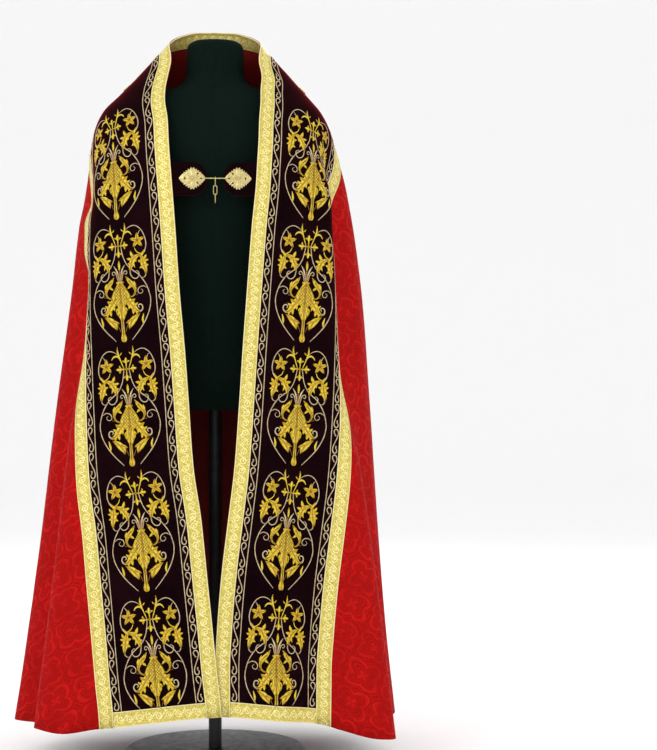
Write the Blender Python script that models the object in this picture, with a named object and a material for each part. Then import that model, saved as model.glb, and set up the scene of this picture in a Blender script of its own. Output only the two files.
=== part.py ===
"""A cope, the long open cloak worn at processions, on a limbless dress form.

The cloak is one wall of red damask. A band of dark velvet between gold galloons runs up both fronts
and round the neck, and a shield-shaped hood with a gold fringe hangs from it at the back. Two velvet
tabs with gilt plates and a bar clasp the fronts. The dress form stands on a round base.

Frame: metres, +Z up. -Y is the open front and +X the wearer's left. The origin is the middle of the
underside of the base, on the floor.

The cloak's outer face is a radius worked out for every turn and height. The turn is in degrees: 0 at
the centre back, 90 at the wearer's left, 180 at the centre front. Oval sections give its main form
and a table of crests and troughs its folds. Widths into the cloth are walked over that face from the
opening edge, so the band keeps its real width all the way along.
"""

import bpy
import numpy as np

MM = 0.001

# --- the cloak ---------------------------------------------------------------------------------

CLOTH = 1.6 * MM  # damask and its lining
VELVET = 1.2 * MM
GALLOON = 1.3 * MM
SEAM = 0.35 * MM  # between a panel and what lies on it
BUTT = 0.2 * MM  # off each edge that meets another edge

GALLOON_WIDTH = 31 * MM
VELVET_WIDTH = 185 * MM
VELVET_CELLS = 4
BAND_WIDTH = VELVET_WIDTH + 2 * GALLOON_WIDTH

# Oval sections from below the hem upwards: half-widths to the wearer's right and left, depths
# behind and in front of the axis, and how square the oval is.
SECTION_COLUMNS = ("height", "right", "left", "back", "front", "square")
SECTIONS = (
    (0.060, 0.370, 0.372, 0.292, 0.272, 3.05),
    (0.300, 0.349, 0.353, 0.266, 0.243, 2.95),
    (0.550, 0.332, 0.339, 0.238, 0.212, 2.80),
    (0.750, 0.318, 0.330, 0.218, 0.192, 2.60),
    (0.950, 0.302, 0.319, 0.199, 0.178, 2.45),
    (1.100, 0.290, 0.304, 0.186, 0.170, 2.35),
    (1.200, 0.280, 0.289, 0.177, 0.163, 2.30),
    (1.290, 0.265, 0.263, 0.167, 0.150, 2.25),
    (1.340, 0.254, 0.245, 0.159, 0.136, 2.20),
    (1.374, 0.238, 0.228, 0.152, 0.124, 2.10),
    (1.410, 0.203, 0.198, 0.142, 0.108, 2.00),
    (1.450, 0.164, 0.162, 0.128, 0.091, 2.00),
    (1.490, 0.128, 0.126, 0.112, 0.078, 2.00),
    (1.520, 0.101, 0.100, 0.099, 0.073, 2.00),
    (1.545, 0.087, 0.087, 0.090, 0.071, 2.00),
    (1.580, 0.072, 0.072, 0.082, 0.068, 2.00),
)

# Folds from the shoulders to the hem, as crests (+) and troughs (-) in order round the cloak:
# turn at the shoulder and at the hem, depth at the hem, and the height where the fold starts.
FOLD_COLUMNS = ("turn_top", "turn_hem", "depth", "start")
FOLDS = (
    (-156, -156, 0.000, 1.00),
    (-134, -138, 0.004, 1.25),
    (-113, -119, 0.042, 1.36),
    (-99, -102, -0.040, 1.36),
    (-85, -88, 0.060, 1.34),
    (-71, -72, -0.046, 1.30),
    (-58, -56, 0.034, 1.25),
    (-42, -40, -0.020, 1.05),
    (-24, -22, 0.012, 1.00),
    (-4, -5, -0.008, 0.95),
    (18, 16, 0.010, 1.00),
    (40, 37, -0.018, 1.05),
    (57, 54, 0.032, 1.25),
    (70, 71, -0.044, 1.30),
    (84, 87, 0.020, 1.34),
    (97, 102, -0.040, 1.36),
    (112, 119, 0.040, 1.36),
    (131, 138, -0.034, 1.30),
    (156, 156, 0.000, 1.00),
)
FOLD_TOP = 1.36
FOLD_FOOT = 0.08
FOLD_EASE = 1.25  # above 1, a fold deepens faster near the hem

# Low down, the wearer's right front laps over the left one, which lies this much further in.
LAP_DEPTH = 9 * MM
LAP_TURN = (150, 172)
LAP_HEIGHT = (0.44, 0.30)

# A hollow down the side of each front, which takes the band's outer galloon out of sight: where its
# middle is at each height and how deep it is.
HOLLOW_COLUMNS = ("height", "turn", "depth")
HOLLOW_LEFT = (
    (0.30, 110, 0.000),
    (0.60, 109, 0.014),
    (0.745, 109, 0.036),
    (0.83, 108, 0.050),
    (1.00, 105, 0.054),
    (1.10, 103, 0.052),
    (1.19, 101, 0.046),
    (1.26, 103, 0.026),
    (1.34, 104, 0.000),
)
HOLLOW_RIGHT = (
    (0.70, 108, 0.000),
    (0.88, 105, 0.020),
    (1.00, 102, 0.020),
    (1.08, 100, 0.004),
    (1.13, 99, 0.004),
    (1.18, 97, 0.018),
    (1.28, 94, 0.000),
)
HOLLOW_WIDTH = 9  # degrees from its middle to where it is a third as deep

# The opening edge: round the neck by turn, then down each front by its distance from the middle.
# The last row is below the hem, which cuts it off.
NECK_EDGE_COLUMNS = ("turn", "height")
NECK_EDGE = (
    (0, 1.566),
    (28, 1.563),
    (54, 1.552),
    (78, 1.538),
    (96, 1.525),
    (109, 1.511),
    (118, 1.495),
    (124, 1.473),
    (127, 1.449),
)
FRONT_EDGE_COLUMNS = ("height", "right", "left")
FRONT_EDGE = (
    (1.412, 0.104, 0.095),
    (1.340, 0.098, 0.091),
    (1.260, 0.093, 0.087),
    (1.198, 0.088, 0.083),
    (1.120, 0.082, 0.075),
    (0.977, 0.072, 0.064),
    (0.868, 0.062, 0.056),
    (0.762, 0.054, 0.049),
    (0.627, 0.044, 0.039),
    (0.520, 0.028, 0.026),
    (0.415, 0.017, 0.013),
    (0.310, 0.006, 0.004),
    (0.220, -0.003, -0.001),
    (0.140, -0.012, -0.001),
    (0.060, -0.016, -0.001),
)

HEM_COLUMNS = ("turn", "height")
HEM = (
    (-188, 0.128),
    (-180, 0.127),
    (-136, 0.103),
    (-127, 0.092),
    (-119, 0.097),
    (-102, 0.079),
    (-88, 0.077),
    (-56, 0.090),
    (0, 0.118),
    (54, 0.096),
    (87, 0.080),
    (102, 0.070),
    (117, 0.066),
    (124, 0.071),
    (131, 0.090),
    (136, 0.103),
    (180, 0.127),
    (188, 0.128),
)

# The cloak's columns start between two corners of the band over the shoulders, and its rows from
# the band's outer line below them.
CORNER = 0.40  # along the opening edge from the nape
COLUMNS = 24  # on each side of the centre back
ROWS = 13
WALK = 2 * MM  # one step of the walk into the cloth
TURN_STEP = 0.4  # degrees each way for a slope of the face
SOLVE_ROUNDS = 30  # to find the turn at a distance from the middle
EDGE_STEP = 4 * MM  # between the walks
EDGE_SAMPLES = 1200  # on the curve before it is measured out in steps
EDGE_SMOOTH = 72 * MM  # of the edge on each side that sets a walk's direction

FACING_COLUMNS = 9  # of gold inside the collar, on each side of the nape

# --- the hood ----------------------------------------------------------------------------------

HOOD_LENGTH = 0.462
HOOD_TOP = 0.252  # half-widths, measured over the cloth
HOOD_WIDEST = 0.276
HOOD_SIDE = 0.312  # length of the side above the round corner
HOOD_EDGE_GALLOON = 20 * MM
HOOD_CENTRE_CELLS = (-124, -92.5, -46, 0, 46, 92.5, 124)  # mm, across the straight middle
HOOD_SIDE_CELLS = 4
HOOD_SIDE_ROWS = 7
HOOD_CORNER_ROWS = 6
HOOD_LIFT_TOP = 2.6 * MM  # its inner face over the cloak
HOOD_LIFT_FOOT = 9 * MM
HOOD_FOLD_SHARE = 0.5  # of the cloak's folds
HOOD_REACH = 108  # degrees each way that the hood's face is worked out for
HOOD_TURNS = 181  # an odd number, so that the middle one is the centre back
HOOD_ROWS = 54
HOOD_ROW = 10 * MM
HOOD_FALL = 0.6  # in height, more than the hood hangs down
HOOD_FALL_STEPS = 301

FRINGE_LENGTH = 46 * MM
FRINGE_STRANDS = 78
FRINGE_HEAD = 4 * MM
FRINGE_STRAND_SHARE = 0.62  # of the room that each strand has
FRINGE_SLANT = 0.55  # outwards, for each 1 downwards, at the hood's sides
FRINGE_BODY = 2.6 * MM
FRINGE_RING_COLUMNS = ("length", "width", "body")  # shares of a strand's own
FRINGE_RINGS = ((0.45, 0.85, 1.0), (1.0, 0.45, 0.6))
FRINGE_START = 0.02  # on the hood's outline, below its top
FRINGE_SAMPLES = 400

# --- the clasp ---------------------------------------------------------------------------------

TAB_HEIGHT = 1.218
TAB_WIDTH = 70 * MM
TAB_GAP = 35 * MM  # between the two round ends
TAB_ROUND = 31 * MM
TAB_POWER = 2.3  # 2 is a round end, more is squarer
TAB_UNDER = 24 * MM  # sewn under each front
TAB_THICK = 3 * MM
TAB_CLEAR = 2.0 * MM  # behind the lining
TAB_ROWS = 11
TAB_CELLS = 5

PLATE_LENGTH = 55 * MM
PLATE_WIDTH = 46 * MM
PLATE_THICK = 1.8 * MM
PLATE_DOME = 1.6 * MM
PLATE_POINTS = 36
PLATE_TOOTH = 0.06
PLATE_RING = 0.5  # share of the plate where its dome flattens
PLATE_ROUND = 1.25  # 1 is a straight-sided rhombus, 2 an ellipse
PLATE_FROM_TIP = 2 * MM
PLATE_CLEAR = 0.8 * MM  # over the tab

BAR_RADIUS = 1.3 * MM
BAR_OVER = 4 * MM  # onto each plate
BAR_CLEAR = 0.8 * MM  # over the plates' tips
LINK_WIRE = 0.9 * MM
LINK_LENGTH = 21 * MM
LINK_WIDTH = 9 * MM
LINK_POINTS = 12
LINK_SIDES = 6
LINKS = 3

# --- the dress form ----------------------------------------------------------------------------

FORM_COLUMNS = ("height", "side", "back", "front")
FORM = (
    (0.740, 0.168, 0.104, 0.100),
    (0.800, 0.176, 0.112, 0.108),
    (0.900, 0.166, 0.104, 0.102),
    (1.000, 0.158, 0.100, 0.101),
    (1.100, 0.170, 0.112, 0.113),
    (1.200, 0.190, 0.128, 0.124),
    (1.290, 0.226, 0.140, 0.118),
    (1.340, 0.246, 0.140, 0.104),
    (1.374, 0.250, 0.130, 0.092),
    (1.400, 0.216, 0.112, 0.080),
    (1.420, 0.120, 0.084, 0.068),
    (1.436, 0.074, 0.066, 0.061),
    (1.460, 0.062, 0.060, 0.059),
    (1.510, 0.061, 0.059, 0.059),
    (1.521, 0.057, 0.055, 0.055),
    (1.527, 0.048, 0.046, 0.046),
)
FORM_SQUARE = 2.2
FORM_SEGMENTS = 32
FORM_CLEAR = 4.5 * MM  # inside the cloak's lining
FORM_WAIST = 1.20  # closer rows of points above it
FORM_NECK = 1.45
FORM_NECK_MIDDLE = 1.485
FORM_LOW_ROWS = 6
FORM_SHOULDER_ROWS = 12

POLE_RADIUS = 14 * MM
BASE_RADIUS = 0.19
BASE_THICK = 14 * MM
BASE_BEVEL = 3 * MM
ROUND_SIDES = 40

# Colour, roughness and metallic value.
FINISHES = {
    "damask": ("C4101C", 0.55, 0.0),
    "velvet": ("1C070C", 0.85, 0.0),
    "galloon": ("DCC25A", 0.38, 0.6),
    "fringe": ("B08A3A", 0.45, 0.5),
    "gilt": ("E0C383", 0.30, 1.0),
    "jersey": ("0E2019", 0.90, 0.0),
    "steel": ("2A2B2D", 0.40, 0.8),
}


# --- curves and faces --------------------------------------------------------------------------


def column(table, columns, name):
    return np.array([row[columns.index(name)] for row in table], float)


def through(x, y, at):
    """A smooth curve through the points (x, y) that never overshoots them."""
    step = np.diff(x)
    chord = np.diff(y) / step
    slope = np.concatenate([chord[:1], np.zeros(len(x) - 2), chord[-1:]])
    same = chord[:-1] * chord[1:] > 0
    slope[1:-1][same] = 2 / (1 / chord[:-1][same] + 1 / chord[1:][same])
    at = np.clip(at, x[0], x[-1])
    i = np.clip(np.searchsorted(x, at) - 1, 0, len(x) - 2)
    t = (at - x[i]) / step[i]
    return (
        y[i] * (1 + 2 * t) * (1 - t) ** 2
        + y[i + 1] * t * t * (3 - 2 * t)
        + step[i] * t * (1 - t) * (slope[i] * (1 - t) - slope[i + 1] * t)
    )


def smooth(share):
    share = np.clip(share, 0, 1)
    return share * share * (3 - 2 * share)


def unit(vectors):
    lengths = np.linalg.norm(vectors, axis=-1, keepdims=True)
    return vectors / np.maximum(lengths, np.finfo(float).tiny)


def lengths_along(points):
    """Distance along a line of points, from its first one."""
    steps = np.linalg.norm(np.diff(points, axis=0), axis=1)
    return np.concatenate([[0], np.cumsum(steps)])


def oval_radius(turn, square, right, left, back, front):
    side, behind = np.sin(np.radians(turn)), np.cos(np.radians(turn))
    width = np.where(side < 0, right, left)
    depth = np.where(behind > 0, back, front)
    return (np.abs(side / width) ** square + np.abs(behind / depth) ** square) ** (-1 / square)


def section(name, height):
    heights = column(SECTIONS, SECTION_COLUMNS, "height")
    return through(heights, column(SECTIONS, SECTION_COLUMNS, name), height)


def fold_offset(turn, height):
    """How far the folds move the cloth out, easing from each crest to the next trough."""
    down = (FOLD_TOP - height) / (FOLD_TOP - FOLD_FOOT)
    place, depth = [], []
    for turn_top, turn_hem, at_hem, start in FOLDS:
        grown = np.clip((start - height) / (start - FOLD_FOOT), 0, None) ** FOLD_EASE
        place.append(turn_top + (turn_hem - turn_top) * down)
        depth.append(at_hem * grown)
    offset = 0
    for i in range(len(FOLDS) - 1):
        share = smooth((turn - place[i]) / (place[i + 1] - place[i]))
        offset = offset + (depth[i + 1] - depth[i]) * share
    return offset


def hollow_offset(turn, height):
    offset = 0
    for side, table in ((1, HOLLOW_LEFT), (-1, HOLLOW_RIGHT)):
        heights = column(table, HOLLOW_COLUMNS, "height")
        middle = side * through(heights, column(table, HOLLOW_COLUMNS, "turn"), height)
        depth = through(heights, column(table, HOLLOW_COLUMNS, "depth"), height)
        offset = offset + depth * np.exp(-(((turn - middle) / HOLLOW_WIDTH) ** 2))
    return offset


def lap_offset(turn, height):
    across = smooth((turn - LAP_TURN[0]) / (LAP_TURN[1] - LAP_TURN[0]))
    down = smooth((height - LAP_HEIGHT[0]) / (LAP_HEIGHT[1] - LAP_HEIGHT[0]))
    return LAP_DEPTH * across * down


def cloak_radius(turn, height, fold_share=1.0):
    names = ("square", "right", "left", "back", "front")
    oval = oval_radius(turn, *(section(name, height) for name in names))
    folds = fold_share * fold_offset(turn, height)
    return oval + folds - lap_offset(turn, height) - hollow_offset(turn, height)


def cloak_point(turn, height, fold_share=1.0, lift=0.0):
    radius = cloak_radius(turn, height, fold_share) + lift
    angle = np.radians(turn)
    return np.stack([radius * np.sin(angle), radius * np.cos(angle), height + 0 * angle], axis=-1)


def cloak_normal(turn, height):
    across = cloak_point(turn + TURN_STEP, height) - cloak_point(turn - TURN_STEP, height)
    down = cloak_point(turn, height - MM) - cloak_point(turn, height + MM)
    return unit(np.cross(across, down))


# --- the opening edge and the lines of the band ------------------------------------------------


def edge_line(side):
    """Turn and height along the opening edge, from the nape to below the hem, every EDGE_STEP."""
    turns = list(side * column(NECK_EDGE, NECK_EDGE_COLUMNS, "turn"))
    heights = list(column(NECK_EDGE, NECK_EDGE_COLUMNS, "height"))
    inward = column(FRONT_EDGE, FRONT_EDGE_COLUMNS, "left" if side > 0 else "right")
    for height, off_middle in zip(column(FRONT_EDGE, FRONT_EDGE_COLUMNS, "height"), inward):
        turn = 180.0 * side
        for _ in range(SOLVE_ROUNDS):
            radius = cloak_radius(np.float64(turn), height)
            turn = side * (180 - np.degrees(np.arcsin(off_middle / radius)))
        turns.append(turn)
        heights.append(height)
    knots = cloak_point(np.array(turns), np.array(heights))
    along = lengths_along(knots)
    dense = np.linspace(0, along[-1], EDGE_SAMPLES)
    turn, height = through(along, np.array(turns), dense), through(along, np.array(heights), dense)
    true = lengths_along(cloak_point(turn, height))
    even = np.arange(0, true[-1], EDGE_STEP)
    return np.interp(even, true, turn), np.interp(even, true, height)


def walks_from_edge(side, distance):
    """Turn and height of straight walks over the cloth, square to the opening edge, step by step."""
    turn, height = edge_line(side)
    edge = cloak_point(turn, height)
    reach = round(EDGE_SMOOTH / EDGE_STEP)
    mirrored = edge[reach:0:-1] * (-1, 1, 1)
    beyond = edge[-1] + np.arange(1, reach + 1)[:, None] * (edge[-1] - edge[-2])
    longer = np.concatenate([mirrored, edge, beyond])
    tangent = unit(longer[2 * reach :] - longer[: -2 * reach])
    heading = side * np.cross(cloak_normal(turn, height), tangent)
    turns, heights = [turn], [height]
    for _ in range(round(distance / WALK)):
        normal = cloak_normal(turn, height)
        heading = unit(heading - normal * np.sum(heading * normal, axis=-1, keepdims=True))
        place = cloak_point(turn, height) + WALK * heading
        change = np.degrees(np.arctan2(place[:, 0], place[:, 1])) - turn
        turn = turn + (change + 180) % 360 - 180
        height = place[:, 2]
        turns.append(turn)
        heights.append(height)
    return np.array(turns), np.array(heights)


def hem_height(turn):
    return through(column(HEM, HEM_COLUMNS, "turn"), column(HEM, HEM_COLUMNS, "height"), turn)


def band_lines():
    """How far each line of the band is from the opening edge."""
    velvet = GALLOON_WIDTH + VELVET_WIDTH * np.arange(VELVET_CELLS + 1) / VELVET_CELLS
    return np.concatenate([[0], velvet, [BAND_WIDTH]])


def stations(corner, end):
    """Places along one line of the band: the centre galloon's edge, columns, rows, the hem galloon."""
    half = GALLOON_WIDTH / 2
    columns = half + (corner - half) * np.arange(COLUMNS) / (COLUMNS - 1)
    rows = corner + (end - GALLOON_WIDTH - corner) * np.arange(1, ROWS + 1) / ROWS
    return np.concatenate([[0], columns, rows, [end]])


def band_side(side):
    """Turn and height of the band's grid on one side: a row for each line, a place per station."""
    turns, heights = walks_from_edge(side, BAND_WIDTH)
    grid = []
    for distance in band_lines():
        step = min(int(distance / WALK), len(turns) - 2)
        share = distance / WALK - step
        turn = turns[step] * (1 - share) + turns[step + 1] * share
        height = heights[step] * (1 - share) + heights[step + 1] * share
        along = lengths_along(cloak_point(turn, height))
        above = height - hem_height(turn)
        last = int(np.argmax(above < 0))
        end = np.interp(0, [above[last], above[last - 1]], [along[last], along[last - 1]])
        corner = np.interp(CORNER, EDGE_STEP * np.arange(len(along)), along)
        places = stations(corner, end)
        grid.append((np.interp(places, along, turn), np.interp(places, along, height)))
    return np.array(grid).transpose(1, 0, 2)


def band_grid():
    """Both sides as one grid, from the wearer's right hem round the neck to the left hem."""
    return np.concatenate([band_side(-1)[:, :, :0:-1], band_side(1)], axis=2)


def skirt_grid(band):
    """Turn and height of the cloth below the band, blended from its four sides."""
    middle = band.shape[2] // 2
    top = band[:, -1, middle - COLUMNS : middle + COLUMNS + 1]
    right = band[:, -1, middle - COLUMNS :: -1]
    left = band[:, -1, middle + COLUMNS :]
    across = np.linspace(0, 1, 2 * COLUMNS + 1)
    hem_turn = right[0, -1] + (left[0, -1] - right[0, -1]) * across
    hem = np.stack([hem_turn, hem_height(hem_turn)])
    down = (right[1, 0] - right[1]) / (right[1, 0] - right[1, -1])
    u, v = across[None, None, :], down[None, :, None]
    grid = (1 - v) * top[:, None, :] + v * hem[:, None, :]
    grid = grid + (1 - u) * right[:, :, None] + u * left[:, :, None]
    grid = grid - (1 - v) * ((1 - u) * top[:, :1, None] + u * top[:, -1:, None])
    return grid - v * ((1 - u) * hem[:, :1, None] + u * hem[:, -1:, None])


# --- meshes ------------------------------------------------------------------------------------


def grid_faces(ids):
    """Four-sided faces between the rows and columns of a grid of point numbers."""
    faces = []
    for i in range(ids.shape[0] - 1):
        for j in range(ids.shape[1] - 1):
            corners = (ids[i, j], ids[i, j + 1], ids[i + 1, j + 1], ids[i + 1, j])
            faces.append(tuple(dict.fromkeys(int(corner) for corner in corners)))
    return [face for face in faces if len(face) > 2]


def point_normals(points, faces):
    normals = np.zeros_like(points)
    for face in faces:
        corners = points[list(face)]
        turned = np.cross(corners[2] - corners[0], corners[-1] - corners[1])
        if len(face) == 3:
            turned = np.cross(corners[1] - corners[0], corners[2] - corners[0])
        for corner in face:
            normals[corner] += turned
    return unit(normals)


def add_object(name, points, faces, finish, smooth_angle=40):
    mesh = bpy.data.meshes.new(name)
    mesh.from_pydata([tuple(point) for point in points], [], faces)
    mesh.shade_smooth()
    mesh.set_sharp_from_angle(angle=np.radians(smooth_angle))
    made = bpy.data.objects.new(name, mesh)
    bpy.context.collection.objects.link(made)
    made.data.materials.append(material(finish))
    return made


def wall(name, points, normals, faces, low, high, finish):
    """A closed sheet between two heights over a surface: its two faces and the rim round its edge."""
    used = sorted({corner for face in faces for corner in face})
    number = {corner: i for i, corner in enumerate(used)}
    count = len(used)
    faces = [tuple(number[corner] for corner in face) for face in faces]
    base, out = points[used], normals[used]
    # Both faces start at the same corner, so each four-sided pair is cut along the same diagonal.
    shell = list(faces)
    shell += [tuple(corner + count for corner in (face[0], *face[:0:-1])) for face in faces]
    sides = {(face[i - 1], face[i]) for face in faces for i in range(len(face))}
    for start, end in sorted(sides):
        if (end, start) not in sides:
            shell.append((end, start, start + count, end + count))
    return add_object(name, np.concatenate([base + high * out, base + low * out]), shell, finish)


def material(finish):
    made = bpy.data.materials.get(finish)
    if made:
        return made
    code, roughness, metallic = FINISHES[finish]
    parts = np.array([int(code[i : i + 2], 16) for i in (0, 2, 4)]) / 255
    linear = np.where(parts < 0.04045, parts / 12.92, ((parts + 0.055) / 1.055) ** 2.4)
    made = bpy.data.materials.new(finish)
    made.use_nodes = True
    shader = made.node_tree.nodes["Principled BSDF"]
    shader.inputs["Base Color"].default_value = (*linear, 1)
    shader.inputs["Roughness"].default_value = roughness
    shader.inputs["Metallic"].default_value = metallic
    return made


def strip(points, normals, rows, columns):
    """Part of a grid, drawn in from the lines it ends on so that it clears what lies next to it.

    rows and columns are pairs (first, last, draw in first, draw in last).
    """
    for axis, (first, last, trim_first, trim_last) in enumerate((rows, columns)):
        points = np.take(points, range(first, last + 1), axis=axis)
        normals = np.take(normals, range(first, last + 1), axis=axis)
        points, normals = np.moveaxis(points, axis, 0).copy(), np.moveaxis(normals, axis, 0)
        start, end = points[0] - points[1], points[-1] - points[-2]
        if trim_first:
            points[0] = points[0] - BUTT * unit(start)
        if trim_last:
            points[-1] = points[-1] - BUTT * unit(end)
        points, normals = np.moveaxis(points, 0, axis), np.moveaxis(normals, 0, axis)
    return points, normals


def lay_on(name, points, normals, thick, finish, low=SEAM):
    """A strip of a grid, laid on the face it comes from, or at another height over it."""
    ids = np.arange(points.shape[0] * points.shape[1]).reshape(points.shape[:2])
    flat, out = points.reshape(-1, 3), normals.reshape(-1, 3)
    return wall(name, flat, out, grid_faces(ids), low, low + thick, finish)


# --- pieces of the cloak -----------------------------------------------------------------------


def cloak():
    """The cloak's wall, with the band's velvet and galloons laid on it."""
    band = band_grid()
    skirt = skirt_grid(band)
    lines, places = band.shape[1:]
    rows, columns = skirt.shape[1:]
    middle = places // 2
    band_ids = np.arange(lines * places).reshape(lines, places)
    skirt_ids = lines * places + np.arange(rows * columns).reshape(rows, columns)
    skirt_ids[0] = band_ids[-1, middle - COLUMNS : middle + COLUMNS + 1]
    skirt_ids[:, 0] = band_ids[-1, middle - COLUMNS :: -1]
    skirt_ids[:, -1] = band_ids[-1, middle + COLUMNS :]
    points = np.concatenate([cloak_point(*band).reshape(-1, 3), cloak_point(*skirt).reshape(-1, 3)])
    faces = grid_faces(band_ids) + grid_faces(skirt_ids)
    normals = point_normals(points, faces)
    wall("cope_cloth", points, normals, faces, -CLOTH, 0, "damask")

    grid = (points[band_ids], normals[band_ids])
    velvet = (1, VELVET_CELLS + 1, True, True)
    all_along = (0, places - 1, False, False)
    above_hem = (1, places - 2, True, True)
    lay_on("galloon_edge", *strip(*grid, (0, 1, False, True), all_along), GALLOON, "galloon")
    outer = (VELVET_CELLS + 1, VELVET_CELLS + 2, True, False)
    lay_on("galloon_outer", *strip(*grid, outer, all_along), GALLOON, "galloon")
    centre = (middle - 1, middle + 1, False, False)
    lay_on("galloon_center_back", *strip(*grid, velvet, centre), GALLOON, "galloon")
    for name, first, last in (
        ("right", above_hem[0], middle - 1),
        ("left", middle + 1, above_hem[1]),
    ):
        piece = strip(*grid, velvet, (first, last, True, True))
        lay_on(f"orphrey_{name}", *piece, VELVET, "velvet")
    for name, first, last in (("right", 0, 1), ("left", places - 2, places - 1)):
        piece = strip(*grid, velvet, (first, last, False, False))
        lay_on(f"galloon_hem_{name}", *piece, GALLOON, "galloon")
    nape = (middle - FACING_COLUMNS, middle + FACING_COLUMNS, False, False)
    inside = -CLOTH - SEAM - GALLOON
    facing = strip(*grid, (0, 1, False, False), nape)
    lay_on("collar_facing", *facing, GALLOON, "galloon", inside)
    return band


# --- the hood ----------------------------------------------------------------------------------


class HoodFace:
    """The face the hood hangs on, over the back: places on it by x across and v down, in metres."""

    def __init__(self, band):
        top_turn, top_height = band[0, -1], band[1, -1]
        middle = len(top_turn) // 2
        across = slice(middle - COLUMNS, middle + COLUMNS + 1)
        self.turns = np.linspace(-HOOD_REACH, HOOD_REACH, HOOD_TURNS)
        self.top = np.interp(self.turns, top_turn[across], top_height[across])
        start = self.top[HOOD_TURNS // 2]
        self.fall = np.linspace(start, start - HOOD_FALL, HOOD_FALL_STEPS)
        self.depth = lengths_along(cloak_point(0 * self.fall, self.fall))
        self.across = []
        for row in range(HOOD_ROWS):
            heights = self.heights(self.turns, row * HOOD_ROW)
            along = lengths_along(cloak_point(self.turns, heights, HOOD_FOLD_SHARE))
            self.across.append(along - along[HOOD_TURNS // 2])

    def heights(self, turn, down):
        centre = np.interp(down, self.depth, self.fall)
        rise = np.interp(turn, self.turns, self.top) - self.top[HOOD_TURNS // 2]
        return centre + rise * np.clip(1 - down / HOOD_LENGTH, 0, 1)

    def point(self, x, down, lift=0.0):
        row = min(int(down / HOOD_ROW), HOOD_ROWS - 2)
        share = down / HOOD_ROW - row
        turn = (1 - share) * np.interp(x, self.across[row], self.turns)
        turn += share * np.interp(x, self.across[row + 1], self.turns)
        eased = smooth(down / HOOD_LENGTH)
        lift = lift + HOOD_LIFT_TOP + (HOOD_LIFT_FOOT - HOOD_LIFT_TOP) * eased
        return cloak_point(turn, self.heights(turn, down), HOOD_FOLD_SHARE, lift)


def hood_outline(t):
    """Across and down on the hood's outline: t from 0 to 1 is the side, from 1 to 2 the round corner."""
    straight = HOOD_CENTRE_CELLS[-1] * MM
    if t <= 1:
        swell = (HOOD_WIDEST - HOOD_TOP) * np.sin(np.pi / 2 * t)
        return np.array([HOOD_TOP + swell, 2 * BUTT + (HOOD_SIDE - 2 * BUTT) * t])
    angle = np.pi / 2 * (t - 1)
    x = straight + (HOOD_WIDEST - straight) * np.cos(angle)
    return np.array([x, HOOD_SIDE + (HOOD_LENGTH - HOOD_SIDE) * np.sin(angle)])


def hood_outward(t):
    along = hood_outline(min(t + 0.01, 2)) - hood_outline(max(t - 0.01, 0))
    return np.array([along[1], -along[0]]) / np.hypot(*along)


def hood_grid():
    """Flat grids of the hood's wearer's-left half and of its middle."""
    down_side = list(np.linspace(0, 1, HOOD_SIDE_ROWS + 1))
    down_side += list(1 + np.arange(1, HOOD_CORNER_ROWS + 1) / HOOD_CORNER_ROWS)
    outer = np.array([hood_outline(t) for t in down_side])
    inner = np.array([hood_outline(t) - HOOD_EDGE_GALLOON * hood_outward(t) for t in down_side])
    straight = HOOD_CENTRE_CELLS[-1] * MM
    inner[0, 1] = outer[0, 1]
    inner[-1] = (straight, HOOD_LENGTH - HOOD_EDGE_GALLOON)
    share = np.linspace(0, 1, HOOD_SIDE_CELLS + 1)
    across = straight + (inner[:, :1] - straight) * share
    side = np.stack([across, np.repeat(inner[:, 1:], len(share), axis=1)], axis=-1)
    side = np.concatenate([side, outer[:, None]], axis=1)
    cells = np.array(HOOD_CENTRE_CELLS) * MM
    down = np.append(inner[:, 1], HOOD_LENGTH)
    middle = np.stack(np.broadcast_arrays(cells[None, :], down[:, None]), axis=-1)
    return side, middle


def hood(band):
    """The hood's wall, and the velvet and galloons laid on it."""
    face = HoodFace(band)
    left, middle = hood_grid()
    right = left[:, ::-1] * (-1, 1)
    flat = np.concatenate([part.reshape(-1, 2) for part in (left, middle, right)])
    keys, ids = np.unique(np.round(flat, 7), axis=0, return_inverse=True)
    ids = ids.reshape(-1)
    left_ids = ids[: left[..., 0].size].reshape(left.shape[:2])
    right_ids = ids[-left[..., 0].size :].reshape(left.shape[:2])
    middle_ids = ids[left[..., 0].size : -left[..., 0].size].reshape(middle.shape[:2])
    points = np.array([face.point(x, down) for x, down in keys])
    faces = grid_faces(right_ids) + grid_faces(middle_ids) + grid_faces(left_ids)
    normals = point_normals(points, faces)
    wall("hood_cloth", points, normals, faces, 0, CLOTH, "damask")
    raised = points + CLOTH * normals

    last = middle_ids.shape[0] - 1
    columns = middle_ids.shape[1] - 1
    rows = (0, last - 1, False, True)
    grid = (raised[middle_ids], normals[middle_ids])
    lay_on("hood_orphrey", *strip(*grid, rows, (1, columns - 1, True, True)), VELVET, "velvet")
    sides = (("right", (0, 1, False, True)), ("left", (columns - 1, columns, True, False)))
    for name, cells in sides:
        lay_on(f"hood_galloon_{name}", *strip(*grid, rows, cells), GALLOON, "galloon")
    edge_faces = grid_faces(right_ids[:, :2]) + grid_faces(middle_ids[last - 1 :])
    edge_faces += grid_faces(left_ids[:, -2:])
    inner_ids = [*right_ids[:, 1], *middle_ids[last - 1, 1:-1], *left_ids[:, -2]]
    outer_ids = [*right_ids[:, 0], *middle_ids[last, 1:-1], *left_ids[:, -1]]
    drawn_in = raised.copy()
    drawn_in[inner_ids] += BUTT * unit(raised[outer_ids] - raised[inner_ids])
    wall("hood_galloon_edge", drawn_in, normals, edge_faces, SEAM, SEAM + GALLOON, "galloon")
    fringe(face)


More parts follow.
